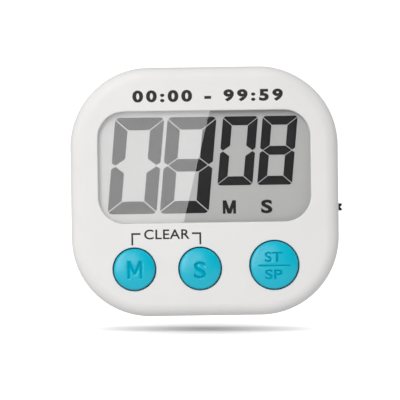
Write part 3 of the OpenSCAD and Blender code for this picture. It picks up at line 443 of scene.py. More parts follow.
# %% Case, buttons and knob
case_plastic = finish("case_plastic", (0.73, 0.721, 0.715), 0.30, grain=0.35, lift=0.0015, drift=0.012)
button_plastic = finish("button_plastic", (0.0, 0.42, 0.56), 0.24, grain=0.3, lift=0.001, drift=0.03)
knob_plastic = finish("knob_plastic", (0.012, 0.012, 0.013), 0.3, grain=0.25, lift=0.002, drift=0.1)
print("plastics:", case_plastic.name, button_plastic.name, knob_plastic.name)

# %% [markdown]
# ## Finishes of the inner parts
#
# The battery door opens and the parts inside may be looked at one by one, so each
# has its own finish. Metals differ in colour and polish. Laminate, resin, rubber,
# ceramic and silicone differ in gloss and grain. The strip that joins glass and board
# is striped, so its noise is stretched. The cell wears a plain dark jacket.

# %% Inner finishes
finishes = {"case_white": case_plastic, "button_blue": button_plastic, "knob_black": knob_plastic}


def stock(name, *look, **texture):
    """Adds a finish for the slot of the same name."""
    finishes[name] = finish(name, *look, **texture)
    return finishes[name]


stock("display_glass", (0.50, 0.52, 0.51), 0.08, lift=0.0)
stock("reflector_film", (0.55, 0.56, 0.55), 0.45, grain=0.1, metallic=0.6)
stock("holder_plastic", (0.68, 0.68, 0.67), 0.5, grain=0.3)
finishes["elastomer"] = finish(
    "striped_elastomer", (0.20, 0.20, 0.21), 0.7, grain=0.1, stretch=(1, 0.05, 0.05)
)
stock("board_laminate", (0.02, 0.16, 0.05), 0.35, grain=0.4, lift=0.01, drift=0.15)
stock("black_resin", (0.010, 0.010, 0.011), 0.25, grain=1.5, lift=0.02)
stock("plated_steel", (0.62, 0.61, 0.59), 0.3, grain=0.2, metallic=1.0)
stock("part_ceramic", (0.42, 0.33, 0.22), 0.55, grain=0.1)
stock("screw_steel", (0.48, 0.47, 0.46), 0.28, grain=0.15, metallic=1.0)
stock("silicone", (0.62, 0.63, 0.64), 0.55, grain=0.3, lift=0.004)
stock("carbon_rubber", (0.018, 0.018, 0.018), 0.75, grain=0.15, lift=0.006)
stock("phenolic", (0.20, 0.10, 0.045), 0.5, grain=0.4, lift=0.006, drift=0.12)
stock("contact_steel", (0.70, 0.69, 0.66), 0.22, grain=0.3, metallic=1.0)
stock("magnet_face", (0.06, 0.06, 0.065), 0.55, grain=0.2, lift=0.006, drift=0.15)
stock("brass_sheet", (0.66, 0.48, 0.20), 0.25, grain=0.3, metallic=1.0)
stock("piezo_ceramic", (0.72, 0.72, 0.70), 0.35, grain=0.1, metallic=0.5)
stock("lead_insulation", (0.45, 0.02, 0.02), 0.4, grain=0.5)
stock("cell_jacket", (0.03, 0.03, 0.032), 0.25, grain=0.5, lift=0.0)
print("finishes:", len(finishes))

# %% [markdown]
# ## Display film
#
# The front of a liquid crystal display is a matt polarising film. With the light
# on it, the glass and the reflector behind it look like one even silver-grey, so the
# film is painted as the opaque face of the whole stack. Stacks of thin clear sheets
# that touch each other render badly and would show nothing more.

# %% Display film
film = stock("polariser_film", (0.54, 0.54, 0.535), 0.45, grain=0.08, lift=0.0008, drift=0.008, shine=0.1)
print("display film:", film.name)

# %% [markdown]
# ## Clear lens
#
# The lens is a plate of clear acrylic. A solid that bends light also gathers it, which
# a renderer works out slowly and with much noise. So the plate bends and mirrors what
# the camera sees, but to light on its way to the display it is a plain clear sheet,
# which holds a little of the light back.

# %% Clear lens
ACRYLIC_IOR, LET_THROUGH = 1.49, 0.92


def clear_acrylic(name):
    """Clear plastic that bends sight but lets the lamps straight through to what lies behind it."""
    material = new_material(name)
    tree, shader = material.node_tree, shader_of(material)
    shader.inputs["Base Color"].default_value = (1, 1, 1, 1)
    shader.inputs["Roughness"].default_value = 0.0
    shader.inputs["IOR"].default_value = ACRYLIC_IOR
    shader.inputs["Transmission Weight"].default_value = 1.0
    rays = tree.nodes.new("ShaderNodeLightPath")
    either = tree.nodes.new("ShaderNodeMath")
    either.operation = "MAXIMUM"
    tree.links.new(rays.outputs["Is Shadow Ray"], either.inputs[0])
    tree.links.new(rays.outputs["Is Diffuse Ray"], either.inputs[1])
    sheet_colour = (LET_THROUGH, LET_THROUGH, LET_THROUGH, 1)
    through = shader_node(tree, "ShaderNodeBsdfTransparent", Color=sheet_colour)
    mixed = tree.nodes.new("ShaderNodeMixShader")
    tree.links.new(either.outputs[0], mixed.inputs["Fac"])
    tree.links.new(shader.outputs["BSDF"], mixed.inputs[1])
    tree.links.new(through.outputs["BSDF"], mixed.inputs[2])
    tree.links.new(mixed.outputs["Shader"], tree.nodes["Material Output"].inputs["Surface"])
    return material


finishes["clear_lens"] = clear_acrylic("clear_acrylic")
print("lens finish:", finishes["clear_lens"].name)

# %% [markdown]
# ## Dress the CAD parts
#
# Each CAD part comes with a slot that is named after its material. The loop puts the
# finish of that name in its place and leaves the mesh as it is. A slot without a
# finish is printed, so that no part stays bare unnoticed.

# %% Dress the CAD parts
for name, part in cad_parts.items():
    for index, old in enumerate(part.data.materials):
        slot = old.name.split(".")[0]
        if slot in finishes:
            part.data.materials[index] = finishes[slot]
        else:
            print("no finish for", name, slot)
print("dressed:", len(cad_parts))

# %% [markdown]
# ## Flat pieces
#
# Ink, display segments and units are all thin flat shapes on the face. Each is a
# closed plate, hundredths of a millimetre thick, made from an outline in X and Z.
# A plate with a real thickness keeps its place when the model is exported, where a
# painted texture would need an unwrapped surface.

# %% Plates
def link(piece, body):
    """Puts a new piece in the scene and lets it ride on a body."""
    bpy.context.scene.collection.objects.link(piece)
    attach(piece, body)
    return piece


def closed_mesh(shape, name):
    """A mesh of what a bmesh holds, with all its faces turned outwards."""
    bmesh.ops.recalc_face_normals(shape, faces=shape.faces)
    mesh = bpy.data.meshes.new(name)
    shape.to_mesh(mesh)
    shape.free()
    return mesh


def plates(name, outlines, back_y, thickness, material):
    """One piece of flat plates, each from a closed outline of (x, z) points."""
    shape = bmesh.new()
    for outline in outlines:
        front = [shape.verts.new((x, back_y - thickness, z)) for x, z in outline]
        back = [shape.verts.new((x, back_y, z)) for x, z in outline]
        shape.faces.new(front)
        shape.faces.new(back[::-1])
        for a in range(len(outline)):
            shape.faces.new((front[a - 1], back[a - 1], back[a], front[a]))
    mesh = closed_mesh(shape, name)
    mesh.materials.append(material)
    return bpy.data.objects.new(name, mesh)


print("helpers for thin pieces: link, closed_mesh, plates")

# %% [markdown]
# ## Display segments
#
# A seven segment figure is a slanted frame of bars with mitred ends and hairline
# gaps. The real ones are etched in the glass and turn dark where a voltage is put
# on them. Here each bar is cut out of one rounded box by straight cuts: the box, a
# few cut lines and two mirrors give all the bars, whatever the size of the figure.

# %% Straight cuts and round corners
CORNER_STEPS = 6


def cut(outline, point, towards):
    """Keeps the part of a convex outline that lies towards one side of a line through point."""
    kept = []
    for a, b in zip(outline, outline[1:] + outline[:1]):
        da = (a[0] - point[0]) * towards[0] + (a[1] - point[1]) * towards[1]
        db = (b[0] - point[0]) * towards[0] + (b[1] - point[1]) * towards[1]
        if da >= 0:
            kept.append(a)
        if (da >= 0) != (db >= 0):
            t = da / (da - db)
            kept.append((a[0] + t * (b[0] - a[0]), a[1] + t * (b[1] - a[1])))
    return kept


def rounded_box(width, height, radius):
    """A box from (0, 0) to (width, height) with round corners."""
    outline = []
    right, above = width - radius, height - radius
    for quarter, (x, z) in enumerate([(right, above), (radius, above), (radius, radius), (right, radius)]):
        for step in range(CORNER_STEPS + 1):
            angle = math.pi / 2 * (quarter + step / CORNER_STEPS)
            outline.append((x + radius * math.cos(angle), z + radius * math.sin(angle)))
    return outline


print("points of a rounded box:", len(rounded_box(2.0, 2.0, 0.5)))

# %% [markdown]
# The shape is written down once, in millimetres, for a large figure. Divided by the
# width, its sizes are shares that also serve the smaller figures. The top bar and the
# upper left bar are cut first, and the mirrors turn them into the others.

# %% Bars of a figure
LARGE_WIDTH, LARGE_HEIGHT = 13.7, 27.0
FIGURE_HEIGHT = LARGE_HEIGHT / LARGE_WIDTH
BAR_ACROSS, BAR_UP = 3.5 / LARGE_WIDTH, 3.7 / LARGE_WIDTH
BAR_GAP, FIGURE_ROUND, WAIST_IN = 0.27 / LARGE_WIDTH, 1.3 / LARGE_WIDTH, 1.1 / LARGE_WIDTH
MITRE_RISE, WAIST_RISE = 0.82, 0.72
TOP, MIDDLE, BOTTOM = "top", "middle", "bottom"
LEFT_UP, LEFT_DOWN, RIGHT_UP, RIGHT_DOWN = "left up", "left down", "right up", "right down"


def figure_bars(width):
    """The seven bars of an upright figure of this width, by name."""
    height = width * FIGURE_HEIGHT
    across, up, gap = width * BAR_ACROSS, width * BAR_UP, width * BAR_GAP
    box = rounded_box(width, height, width * FIGURE_ROUND)
    corner_x, corner_z = up, height - across
    mitre_gap = gap / 2 * math.hypot(MITRE_RISE, 1)
    top_bar = cut(box, (corner_x, corner_z), (0, 1))
    top_bar = cut(top_bar, (corner_x, corner_z + mitre_gap), (MITRE_RISE, 1))
    top_bar = cut(top_bar, (width - corner_x, corner_z + mitre_gap), (-MITRE_RISE, 1))
    side_bar = cut(box, (corner_x, corner_z), (-1, 0))
    side_bar = cut(side_bar, (corner_x, corner_z - mitre_gap), (-MITRE_RISE, -1))
    waist_x, waist_z = width * WAIST_IN, height / 2
    waist_gap = gap / 2 * math.hypot(WAIST_RISE, 1)
    low, high = waist_z - across / 2, waist_z + across / 2
    middle_bar = [(0, low), (width, low), (width, high), (0, high)]
    for sign in (-1, 1):
        side_bar = cut(side_bar, (waist_x, waist_z + waist_gap), (sign * WAIST_RISE, 1))
        middle_bar = cut(middle_bar, (waist_x, waist_z + sign * waist_gap), (WAIST_RISE, sign))
        middle_bar = cut(middle_bar, (width - waist_x, waist_z + sign * waist_gap), (-WAIST_RISE, sign))

    def over(outline):
        return [(x, height - z) for x, z in outline]

    def aside(outline):
        return [(width - x, z) for x, z in outline]

    return {
        TOP: top_bar, BOTTOM: over(top_bar), MIDDLE: middle_bar,
        LEFT_UP: side_bar, LEFT_DOWN: over(side_bar),
        RIGHT_UP: aside(side_bar), RIGHT_DOWN: aside(over(side_bar)),
    }


print("corners of each bar:", {name: len(outline) for name, outline in figure_bars(1.0).items()})

# %% [markdown]
# The film lies a fifth of a millimetre behind the lens. The bars stand on the film,
# within that gap. Minutes are shown in large figures and seconds in smaller ones,
# all hung from one top line, which is how such a display saves room for its units.

# %% Figures on the display
SEGMENT_LIFT = 0.03 * MM
FIGURE_LINE = lens_middle.z + 13.92 * MM
LARGE_FIGURE, SMALL_FIGURE = LARGE_WIDTH * MM, 9.8 * MM
LEAN = math.tan(math.radians(5.5))
DARK_BARS = {
    "0": (TOP, BOTTOM, LEFT_UP, LEFT_DOWN, RIGHT_UP, RIGHT_DOWN),
    "8": (TOP, MIDDLE, BOTTOM, LEFT_UP, LEFT_DOWN, RIGHT_UP, RIGHT_DOWN),
}
# Each figure's name, what it shows, its width and its left edge at the top line
SHOWN = (
    ("minutes_tens", "0", LARGE_FIGURE, -24.75 * MM),
    ("minutes_ones", "8", LARGE_FIGURE, -10.10 * MM),
    ("seconds_tens", "0", SMALL_FIGURE, 5.42 * MM),
    ("seconds_ones", "8", SMALL_FIGURE, 16.53 * MM),
)
segment_black = finish(
    "segment_black", (0.024, 0.024, 0.025), 0.4, grain=0.08, lift=0.0, drift=0.05, shine=0.1
)


def figure(name, digit, width, left):
    """One figure, its left edge at left where it meets the top line."""
    height = width * FIGURE_HEIGHT
    bars = figure_bars(width)
    outlines = [
        [(left + x + (z - height) * LEAN, FIGURE_LINE - height + z) for x, z in bars[bar]]
        for bar in DARK_BARS[digit]
    ]
    piece = plates("figure_" + name, outlines, FILM_Y, SEGMENT_LIFT, segment_black)
    return link(piece, "root")


figures = [figure(*one) for one in SHOWN]
print("figures:", [piece.name for piece in figures])

# %% [markdown]
# ## Letters
#
# Blender's text objects give clean outlines from the typeface that comes with it.
# Each legend is typed, made heavier or lighter by an offset, given a thickness and
# turned into a mesh that stands on the face. Only marks that tell what a control or a
# number is are used: units, the buttons' functions and plain numbers.

# %% Lettering
# The height of a capital in Blender's own typeface, as a share of the type size
CAP_SHARE = 0.682
LETTER_STEPS = 4


def final_mesh(piece):
    """The mesh of a piece with its modifiers carried out, or of a text as it is drawn."""
    bpy.context.view_layer.update()
    return bpy.data.meshes.new_from_object(piece.evaluated_get(bpy.context.evaluated_depsgraph_get()))


def typed(words, size, weight, half_depth, spacing, slope):
    """A mesh of typed words that lie in XY, half_depth deep above and below it."""
    text = bpy.data.curves.new("text", "FONT")
    text.body = words
    text.size = size
    text.offset = weight
    text.extrude = half_depth - slope
    text.bevel_depth = slope
    text.bevel_resolution = 0
    text.resolution_u = LETTER_STEPS
    text.space_character = spacing
    piece = bpy.data.objects.new("text", text)
    bpy.context.scene.collection.objects.link(piece)
    mesh = final_mesh(piece)
    bpy.data.objects.remove(piece)
    bpy.data.curves.remove(text)
    return mesh


def lettering(words, centre_x, centre_z, cap_height, width, weight, front_y, thickness, spacing=1.0,
              slope=0.0, flat=1.0):
    """A mesh of upright letters, cap_height high and width wide, centred at a place on the face.

    slope is how far the sides spread between the back face and the middle. A flat below 1
    squashes the letters along Y, which makes that slope gentler.
    """
    size = (cap_height - 2 * weight) / CAP_SHARE
    mesh = typed(words, size, weight, thickness / flat / 2, spacing, slope)
    xs = [vertex.co.x for vertex in mesh.vertices]
    stretch = width / (max(xs) - min(xs))
    centre = (max(xs) + min(xs)) / 2
    for vertex in mesh.vertices:
        x, y, z = vertex.co
        vertex.co = (
            centre_x + (x - centre) * stretch,
            front_y + thickness / 2 - z * flat,
            centre_z - cap_height / 2 + weight + y,
        )
    return mesh


def printed(name, mesh, material):
    """A piece made of a lettering mesh."""
    mesh.name = name
    mesh.materials.clear()
    mesh.materials.append(material)
    return link(bpy.data.objects.new(name, mesh), "root")


print("capitals are this share of the type size:", CAP_SHARE)

# %% [markdown]
# ## Units of the display
#
# The units are etched in the glass like the figures, M for the minutes and S for the
# seconds. The S is typed. The M is a short list of corners, so that its stems and
# slopes can each have a width of their own. One of the buttons uses it as well, with
# slopes that meet above the foot.

# %% Units
UNIT_CAP, UNIT_Z = 3.75 * MM, lens_middle.z - 11.45 * MM
UNIT_M_X, UNIT_M_WIDTH = 6.83 * MM, 3.7 * MM
UNIT_M_STEM, UNIT_M_SLOPE = 0.78 * MM, 1.0 * MM
UNIT_S_X, UNIT_S_WIDTH, UNIT_S_WEIGHT = 17.31 * MM, 3.2 * MM, 0.18 * MM


def letter_m(centre_x, centre_z, width, height, stem, slope, valley):
    """Outline of an M. Its two slopes meet at valley above the foot.

    stem and slope are the widths of those strokes.
    """
    half, run = width / 2, width / 2 - slope / 2
    notch = height - (height - valley) * (half - slope) / run
    shoulder = height - (height - valley) * stem / run
    left = [(-half, 0), (-half, height), (-half + slope, height), (0, notch)]
    inner = [(-slope / 2, valley), (-half + stem, shoulder), (-half + stem, 0)]
    right = [(-x, z) for x, z in reversed(left[:3])]
    outline = left + right + [(-x, z) for x, z in reversed(inner)] + inner
    return [(centre_x + x, centre_z - height / 2 + z) for x, z in outline]


unit_m = letter_m(UNIT_M_X, UNIT_Z, UNIT_M_WIDTH, UNIT_CAP, UNIT_M_STEM, UNIT_M_SLOPE, 0)
link(plates("unit_minutes", [unit_m], FILM_Y, SEGMENT_LIFT, segment_black), "root")
unit_s = lettering("S", UNIT_S_X, UNIT_Z, UNIT_CAP, UNIT_S_WIDTH, UNIT_S_WEIGHT,
                   FILM_Y - SEGMENT_LIFT, SEGMENT_LIFT)
printed("unit_seconds", unit_s, segment_black)
print("units at z, mm:", round(UNIT_Z / MM, 2))

# %% [markdown]
# ## Print on the face
#
# Pad printing lays a film of ink a few hundredths of a millimetre thick. Above the
# window stand plain numbers, the shortest and longest time that can be set.

# %% Printed legends
INK_THICKNESS = 0.02 * MM
RANGE_ASIDE, RANGE_ABOVE = 1.15 * MM, 27.1 * MM
RANGE_CAP, RANGE_WIDTH, RANGE_WEIGHT, RANGE_SPACING = 3.3 * MM, 42.1 * MM, 0.2 * MM, 1.35
CLEAR_ABOVE = 9.72 * MM
CLEAR_CAP, CLEAR_WIDTH, CLEAR_WEIGHT, CLEAR_SPACING = 2.7 * MM, 12.75 * MM, 0.05 * MM, 1.05
clear_x, clear_z = (minute_place.x + second_place.x) / 2, minute_place.z + CLEAR_ABOVE
ink_black = finish("ink_black", (0.016, 0.015, 0.016), 0.4, grain=0.1, lift=0.0005, drift=0.05)


def legend(name, words, x, z, cap_height, width, weight, spacing):
    """Words in ink, centred at a place on the face."""
    front_y = FACE_Y - INK_THICKNESS
    mesh = lettering(words, x, z, cap_height, width, weight, front_y, INK_THICKNESS, spacing)
    return printed(name, mesh, ink_black)


legends = [
    legend("print_time_range", "00:00 - 99:59", case_middle.x + RANGE_ASIDE, case_middle.z + RANGE_ABOVE,
           RANGE_CAP, RANGE_WIDTH, RANGE_WEIGHT, RANGE_SPACING),
    legend("print_clear", "CLEAR", clear_x, clear_z, CLEAR_CAP, CLEAR_WIDTH, CLEAR_WEIGHT, CLEAR_SPACING),
]
print("legends:", [piece.name for piece in legends])

# %% [markdown]
# Below the window a bracket joins the minutes and seconds buttons, because both
# pressed together clear the time. It is two arms of ink with the word between them.

# %% Bracket
BRACKET_LINE, BRACKET_ARM, BRACKET_DROP = 0.5 * MM, 2.55 * MM, 3.4 * MM
BRACKET_LEFT, BRACKET_RIGHT = 0.75 * MM, 0.4 * MM
BRACKET_RISE = 0.9


def bracket_side(outer, towards):
    """One arm that begins at the x of its outer end, where it turns down. towards is 1 if it runs right."""
    top_z = clear_z + BRACKET_LINE * BRACKET_RISE
    tip, inner = outer + towards * BRACKET_ARM, outer + towards * BRACKET_LINE
    under, foot = top_z - BRACKET_LINE, top_z - BRACKET_DROP
    return [(outer, top_z), (tip, top_z), (tip, under), (inner, under), (inner, foot), (outer, foot)]


arms = [bracket_side(minute_place.x - BRACKET_LEFT, 1), bracket_side(second_place.x + BRACKET_RIGHT, -1)]
link(plates("print_bracket", arms, FACE_Y, INK_THICKNESS, ink_black), "root")
print("bracket arms at z, mm:", round(clear_z / MM, 2))

# %% [markdown]
# ## Push buttons
#
# A button is a turned shape: a low dome that bends most near its rim, a straight side,
# a flange behind the wall of the case that keeps it in, and a hollow with a post that
# presses on the keypad. On the real one the hollow keeps the plastic thin, so that it
# cools evenly. The shape is built as on a lathe: a profile of radii and depths is
# turned about the middle of the button.

# %% Turned shapes
LATHE_STEPS = 96


def turned(name, profile, centre_x, centre_z):
    """A mesh turned about a line along Y, from (radius, y) points that begin and end on it."""
    shape = bmesh.new()
    rings = []
    for radius, y in profile:
        count = LATHE_STEPS if radius > 0 else 1
        rings.append([
            shape.verts.new((
                centre_x + radius * math.cos(2 * math.pi * step / LATHE_STEPS), y,
                centre_z + radius * math.sin(2 * math.pi * step / LATHE_STEPS),
            ))
            for step in range(count)
        ])
    for a, b in zip(rings, rings[1:]):
        for step in range(LATHE_STEPS):
            following = (step + 1) % LATHE_STEPS
            corners = [a[step % len(a)], a[following % len(a)], b[following % len(b)], b[step % len(b)]]
            shape.faces.new(list(dict.fromkeys(corners)))
    return closed_mesh(shape, name)


def arc(centre_r, centre_y, radius, start, end, steps):
    """Points of an arc in (radius, y). Angles are measured from the front, -Y, outwards."""
    angles = [start + (end - start) * step / steps for step in range(steps + 1)]
    return [(centre_r + radius * math.sin(a), centre_y - radius * math.cos(a)) for a in angles]


print("a turned shape has this many sides:", LATHE_STEPS)

# %% [markdown]
# The dome falls with a power of the radius, so it is nearly flat in the middle. The
# rim is an arc that carries on with the dome's own slope, so no edge shows between
# them. The side leans in a little towards the front, as a mould needs to let go.

# %% Profile of a cap
DOME_DROP, DOME_POWER, DOME_STEPS = 0.55 * MM, 2.6, 16
RIM_ROUND, RIM_STEPS, SIDE_DRAFT = 0.4 * MM, 8, 0.2 * MM
FLANGE_WIDTH, FLANGE_THICKNESS = 0.8 * MM, 0.8 * MM
CAP_WALL, HOLLOW_ROOF, POST_RADIUS = 1.0 * MM, 1.2 * MM, 2.0 * MM


def dome(reach, front_r, front_y):
    """Points of the dome out to the radius reach, and its slope there."""
    points = []
    for step in range(DOME_STEPS + 1):
        radius = reach * step / DOME_STEPS
        points.append((radius, front_y + DOME_DROP * (radius / front_r) ** DOME_POWER))
    return points, math.atan(DOME_DROP * DOME_POWER / front_r * (reach / front_r) ** (DOME_POWER - 1))


def rim(start, slope, front_r):
    """Points of the rounded rim, from where the dome ends to the straight side."""
    radius = (front_r - start[0]) / (1 - math.sin(slope))
    centre_y = start[1] + radius * math.cos(slope)
    return arc(front_r - radius, centre_y, radius, slope, math.pi / 2, RIM_STEPS)


def cap_profile(flange_r, front_y, back_y):
    """The profile from the middle of the dome, round the flange and through the hollow to the post."""
    cap_r = flange_r - FLANGE_WIDTH
    front_r, hollow_r = cap_r - SIDE_DRAFT, cap_r - CAP_WALL
    flange_y, roof_y = back_y - FLANGE_THICKNESS, front_y + DOME_DROP + HOLLOW_ROOF
    points, slope = dome(front_r - RIM_ROUND, front_r, front_y)
    points += rim(points.pop(), slope, front_r)
    return points + [
        (cap_r, flange_y), (flange_r, flange_y), (flange_r, back_y), (hollow_r, back_y),
        (hollow_r, roof_y), (POST_RADIUS, roof_y), (POST_RADIUS, back_y), (0, back_y),
    ]


print("a cap's dome drops, mm:", round(DOME_DROP / MM, 2))

# %% [markdown]
# ## Engraved marks
#
# The mark on a button is cut into it: a matt floor, a short steep wall and a wide
# gentle shoulder up to the face. The floor is also a darker blue than the cap, which is
# painted shade in the recess. The light comes from the left, so the near side of
# each stroke is dark, and the far shoulder mirrors the side softbox as a pale line.
# That dark side and pale line can't be painted: they have to be cut. Each mark has a
# cutter, a solid that reaches from before the dome down to the floor. For letters, the
# bevel of the text object makes the walls, and squashed along Y it makes the shoulders.
# Thin letters get narrow shoulders, because wide ones would fold over each other.

# %% Cutters
MARK_START, MARK_DEPTH, MARK_WALL = 0.6 * MM, 0.4 * MM, 0.08 * MM
SHOULDER_FALL, WIDE_SHOULDER, SMALL_SHOULDER = 0.42, 0.5 * MM, 0.2 * MM


def letter_cutters(words, x, z, cap_height, width, weight, shoulder, front_y):
    """Two cutters for letters: one with steep walls, and a shallow one for the shoulders."""
    start_y, shoulder_depth = front_y - MARK_START, shoulder * SHOULDER_FALL
    letters = (words, x, z, cap_height, width, weight, start_y)
    return [
        lettering(*letters, MARK_START + MARK_DEPTH, slope=MARK_WALL),
        lettering(*letters, MARK_START + shoulder_depth, slope=shoulder, flat=SHOULDER_FALL),
    ]


def grown(outline, by):
    """An outline moved outwards on all sides, with sharp corners. It runs anticlockwise."""
    result = []
    for before, here, after in zip(outline[-1:] + outline[:-1], outline, outline[1:] + outline[:1]):
        a, b = Vector(here) - Vector(before), Vector(after) - Vector(here)
        out_a, out_b = Vector((a.y, -a.x)).normalized(), Vector((b.y, -b.x)).normalized()
        corner = (out_a + out_b) / (1 + out_a.dot(out_b))
        result.append((here[0] + corner.x * by, here[1] + corner.y * by))
    return result


def outline_cutter(outline, shoulder, front_y):
    """A cutter for any outline, with the same steep walls and shoulders as the letters."""
    shape = bmesh.new()
    floor_y, start_y = front_y + MARK_DEPTH, front_y - MARK_START
    bend_y = front_y + (shoulder - MARK_WALL) * SHOULDER_FALL
    levels = [(floor_y, 0.0), (floor_y - MARK_WALL, MARK_WALL), (bend_y, MARK_WALL),
              (front_y, shoulder), (start_y, shoulder)]
    rings = [[shape.verts.new((x, y, z)) for x, z in grown(outline, by)] for y, by in levels]
    for lower, upper in zip(rings, rings[1:]):
        for a in range(len(outline)):
            shape.faces.new((lower[a - 1], upper[a - 1], upper[a], lower[a]))
    shape.faces.new(rings[0])
    shape.faces.new(rings[-1])
    return closed_mesh(shape, "cutter")


print("marks are cut this deep, mm:", round(MARK_DEPTH / MM, 2))

# %% [markdown]
# Each button says what it does: M and S set minutes and seconds, and the large one
# starts and stops, with a bar between its two words. Each button has its own small
# function, which gives the cutters for a button at x, z.

# %% Marks of the three buttons
M_ASIDE, M_BELOW = 0.12 * MM, 0.1 * MM
M_WIDTH, M_HEIGHT, M_STEM, M_SLOPE, M_VALLEY = 3.9 * MM, 4.8 * MM, 0.5 * MM, 0.62 * MM, 1.3 * MM
S_ASIDE, S_BELOW = 0.05 * MM, 0.4 * MM
S_CAP, S_WIDTH, S_WEIGHT = 4.4 * MM, 3.5 * MM, -0.02 * MM
START_ASIDE, START_ABOVE, START_CAP = 0.2 * MM, 2.3 * MM, 2.65 * MM
STOP_ASIDE, STOP_BELOW, STOP_CAP = 0.15 * MM, 2.6 * MM, 2.5 * MM
WORD_WIDTH, WORD_WEIGHT = 5.0 * MM, 0.0
BAR_BELOW, BAR_WIDTH, BAR_HEIGHT = 0.12 * MM, 8.8 * MM, 0.26 * MM


def minute_marks(x, z, front_y):
    """An M for the minutes."""
    outline = letter_m(x + M_ASIDE, z - M_BELOW, M_WIDTH, M_HEIGHT, M_STEM, M_SLOPE, M_VALLEY)
    return [outline_cutter(outline[::-1], WIDE_SHOULDER, front_y)]


def second_marks(x, z, front_y):
    """An S for the seconds."""
    return letter_cutters("S", x - S_ASIDE, z - S_BELOW, S_CAP, S_WIDTH, S_WEIGHT, WIDE_SHOULDER, front_y)


def start_stop_marks(x, z, front_y):
    """ST for start above SP for stop, with a bar between them."""
    bar_z = z - BAR_BELOW
    bar = [(x + right * BAR_WIDTH / 2, bar_z + above * BAR_HEIGHT / 2) for right, above in CORNERS]
    return [
        *letter_cutters("ST", x - START_ASIDE, z + START_ABOVE, START_CAP, WORD_WIDTH, WORD_WEIGHT,
                        SMALL_SHOULDER, front_y),
        outline_cutter(bar, WIDE_SHOULDER, front_y),
        *letter_cutters("SP", x - STOP_ASIDE, z - STOP_BELOW, STOP_CAP, WORD_WIDTH, WORD_WEIGHT,
                        SMALL_SHOULDER, front_y),
    ]


print("bar between the words, mm:", round(BAR_WIDTH / MM, 2), "by", round(BAR_HEIGHT / MM, 2))

# %% [markdown]
# ## Carving
#
# The cutters of a button are joined and taken out of its cap with one Boolean. The
# cutters overlap, and letters may touch each other, so the Boolean needs its
# self-intersection option, or one of them is lost. The faces that a cutter leaves
# behind keep its material, which makes the walls glossy and the floors matt and a
# darker blue, which is painted shade. What comes out may hold hairline faces and
# specks, and a last helper takes them away.

# %% Carving helpers
FLOOR_FACING = 0.99
HAIRLINE = 0.02 * MM
CRISP_ANGLE = math.radians(30)
# The floor of a mark is matt and a darker blue than the cap: painted shade of the recess.
groove_floor_painted_shade = finish("groove_floor_painted_shade", (0.0, 0.32, 0.45), 0.5, grain=0.2, lift=0.002, shine=0.0)


def joined(cutters):
    """Several cutters as one. Its level faces cut matt floors of a darker blue, painted shade, and all
    others glossy walls.
    """
    shape = bmesh.new()
    for cutter in cutters:
        shape.from_mesh(cutter)
    result = bpy.data.meshes.new("cutter")
    shape.to_mesh(result)
    shape.free()
    for material in (button_plastic, groove_floor_painted_shade):
        result.materials.append(material)
    for face in result.polygons:
        face.material_index = int(abs(face.normal.y) > FLOOR_FACING)
    return result


def carved(mesh, cutter_mesh, name):
    """mesh less cutter_mesh."""
    solid, cutter = bpy.data.objects.new(name, mesh), bpy.data.objects.new(name + "_cutter", cutter_mesh)
    for piece in (solid, cutter):
        bpy.context.scene.collection.objects.link(piece)
    difference = solid.modifiers.new("carve", "BOOLEAN")
    difference.operation = "DIFFERENCE"
    difference.solver = "EXACT"
    difference.object = cutter
    difference.use_self = True
    difference.material_mode = "TRANSFER"
    result = final_mesh(solid)
    for piece in (solid, cutter):
        bpy.data.objects.remove(piece)
    return result


def connected_parts(shape):
    """The vertices of each connected part of a bmesh, the largest part last."""
    unseen, parts = set(shape.verts), []
    while unseen:
        part, newest = set(), {unseen.pop()}
        while newest:
            part |= newest
            newest = {edge.other_vert(v) for v in newest for edge in v.link_edges} - part
        unseen -= part
        parts.append(part)
    return sorted(parts, key=len)


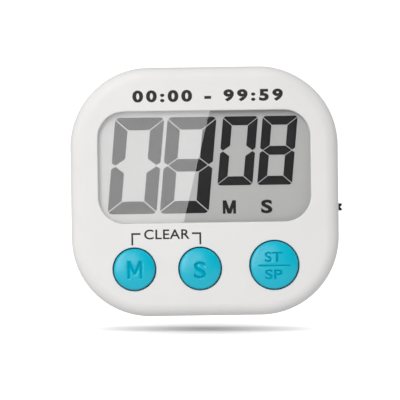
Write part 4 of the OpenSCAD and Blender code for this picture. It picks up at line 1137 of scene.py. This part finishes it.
def cleaned(mesh, name):
    """mesh with its hairline faces closed up, and only its largest connected part kept."""
    shape = bmesh.new()
    shape.from_mesh(mesh)
    bmesh.ops.remove_doubles(shape, verts=shape.verts, dist=HAIRLINE)
    bmesh.ops.dissolve_degenerate(shape, edges=shape.edges, dist=HAIRLINE)
    specks = connected_parts(shape)[:-1]
    for speck in specks:
        bmesh.ops.delete(shape, geom=list(speck), context="VERTS")
    open_edges = sum(not edge.is_manifold for edge in shape.edges)
    print(name, "specks taken out:", len(specks), "open edges:", open_edges)
    shape.to_mesh(mesh)
    shape.free()
    return mesh


def crisp(mesh):
    """Smooth shading, with sharp edges where the surface turns by more than the crisp angle."""
    shape = bmesh.new()
    shape.from_mesh(mesh)
    for face in shape.faces:
        face.smooth = True
    for edge in shape.edges:
        edge.smooth = edge.is_manifold and edge.calc_face_angle(0) < CRISP_ANGLE
    shape.to_mesh(mesh)
    shape.free()


print("groove finish:", groove_floor_painted_shade.name)

# %% [markdown]
# ## Caps
#
# A cap takes its radii and depths from the box of the CAD part that it stands for, so
# it fills the same room and rides on the same body. Weighted normals keep the large
# faces even next to the small ones of a mark.

# %% Button caps
def cap(name, node, body, marks):
    """A button cap that stands for its CAD part, with engraved marks."""
    low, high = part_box(node)
    x, z = (low.x + high.x) / 2, (low.z + high.z) / 2
    blank = turned(name, cap_profile((high.x - low.x) / 2, low.y, high.y), x, z)
    blank.materials.append(button_plastic)
    mesh = cleaned(carved(blank, joined(marks(x, z, low.y)), name), name)
    crisp(mesh)
    piece = link(bpy.data.objects.new(name, mesh), body)
    even = piece.modifiers.new("even_normals", "WEIGHTED_NORMAL")
    even.keep_sharp = True
    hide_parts(node)
    print(name, "faces:", len(mesh.polygons))
    return piece


caps = [
    cap("minutes_cap", "minute_button", "minutes_key", minute_marks),
    cap("seconds_cap", "second_button", "seconds_key", second_marks),
    cap("start_stop_cap", "start_stop_button", "start_stop_key", start_stop_marks),
]

# %% [markdown]
# Now that the caps exist, the last two lamps get their links: the side softbox lights
# only the caps, and the fill softbox in the same place lights all the rest of the
# object.

# %% Lamps of the caps
light_link(side_lamp, caps, "INCLUDE")
light_link(fill_lamp, caps + [floor], "EXCLUDE")
print("lit by the side softbox:", [piece.name for piece in caps])
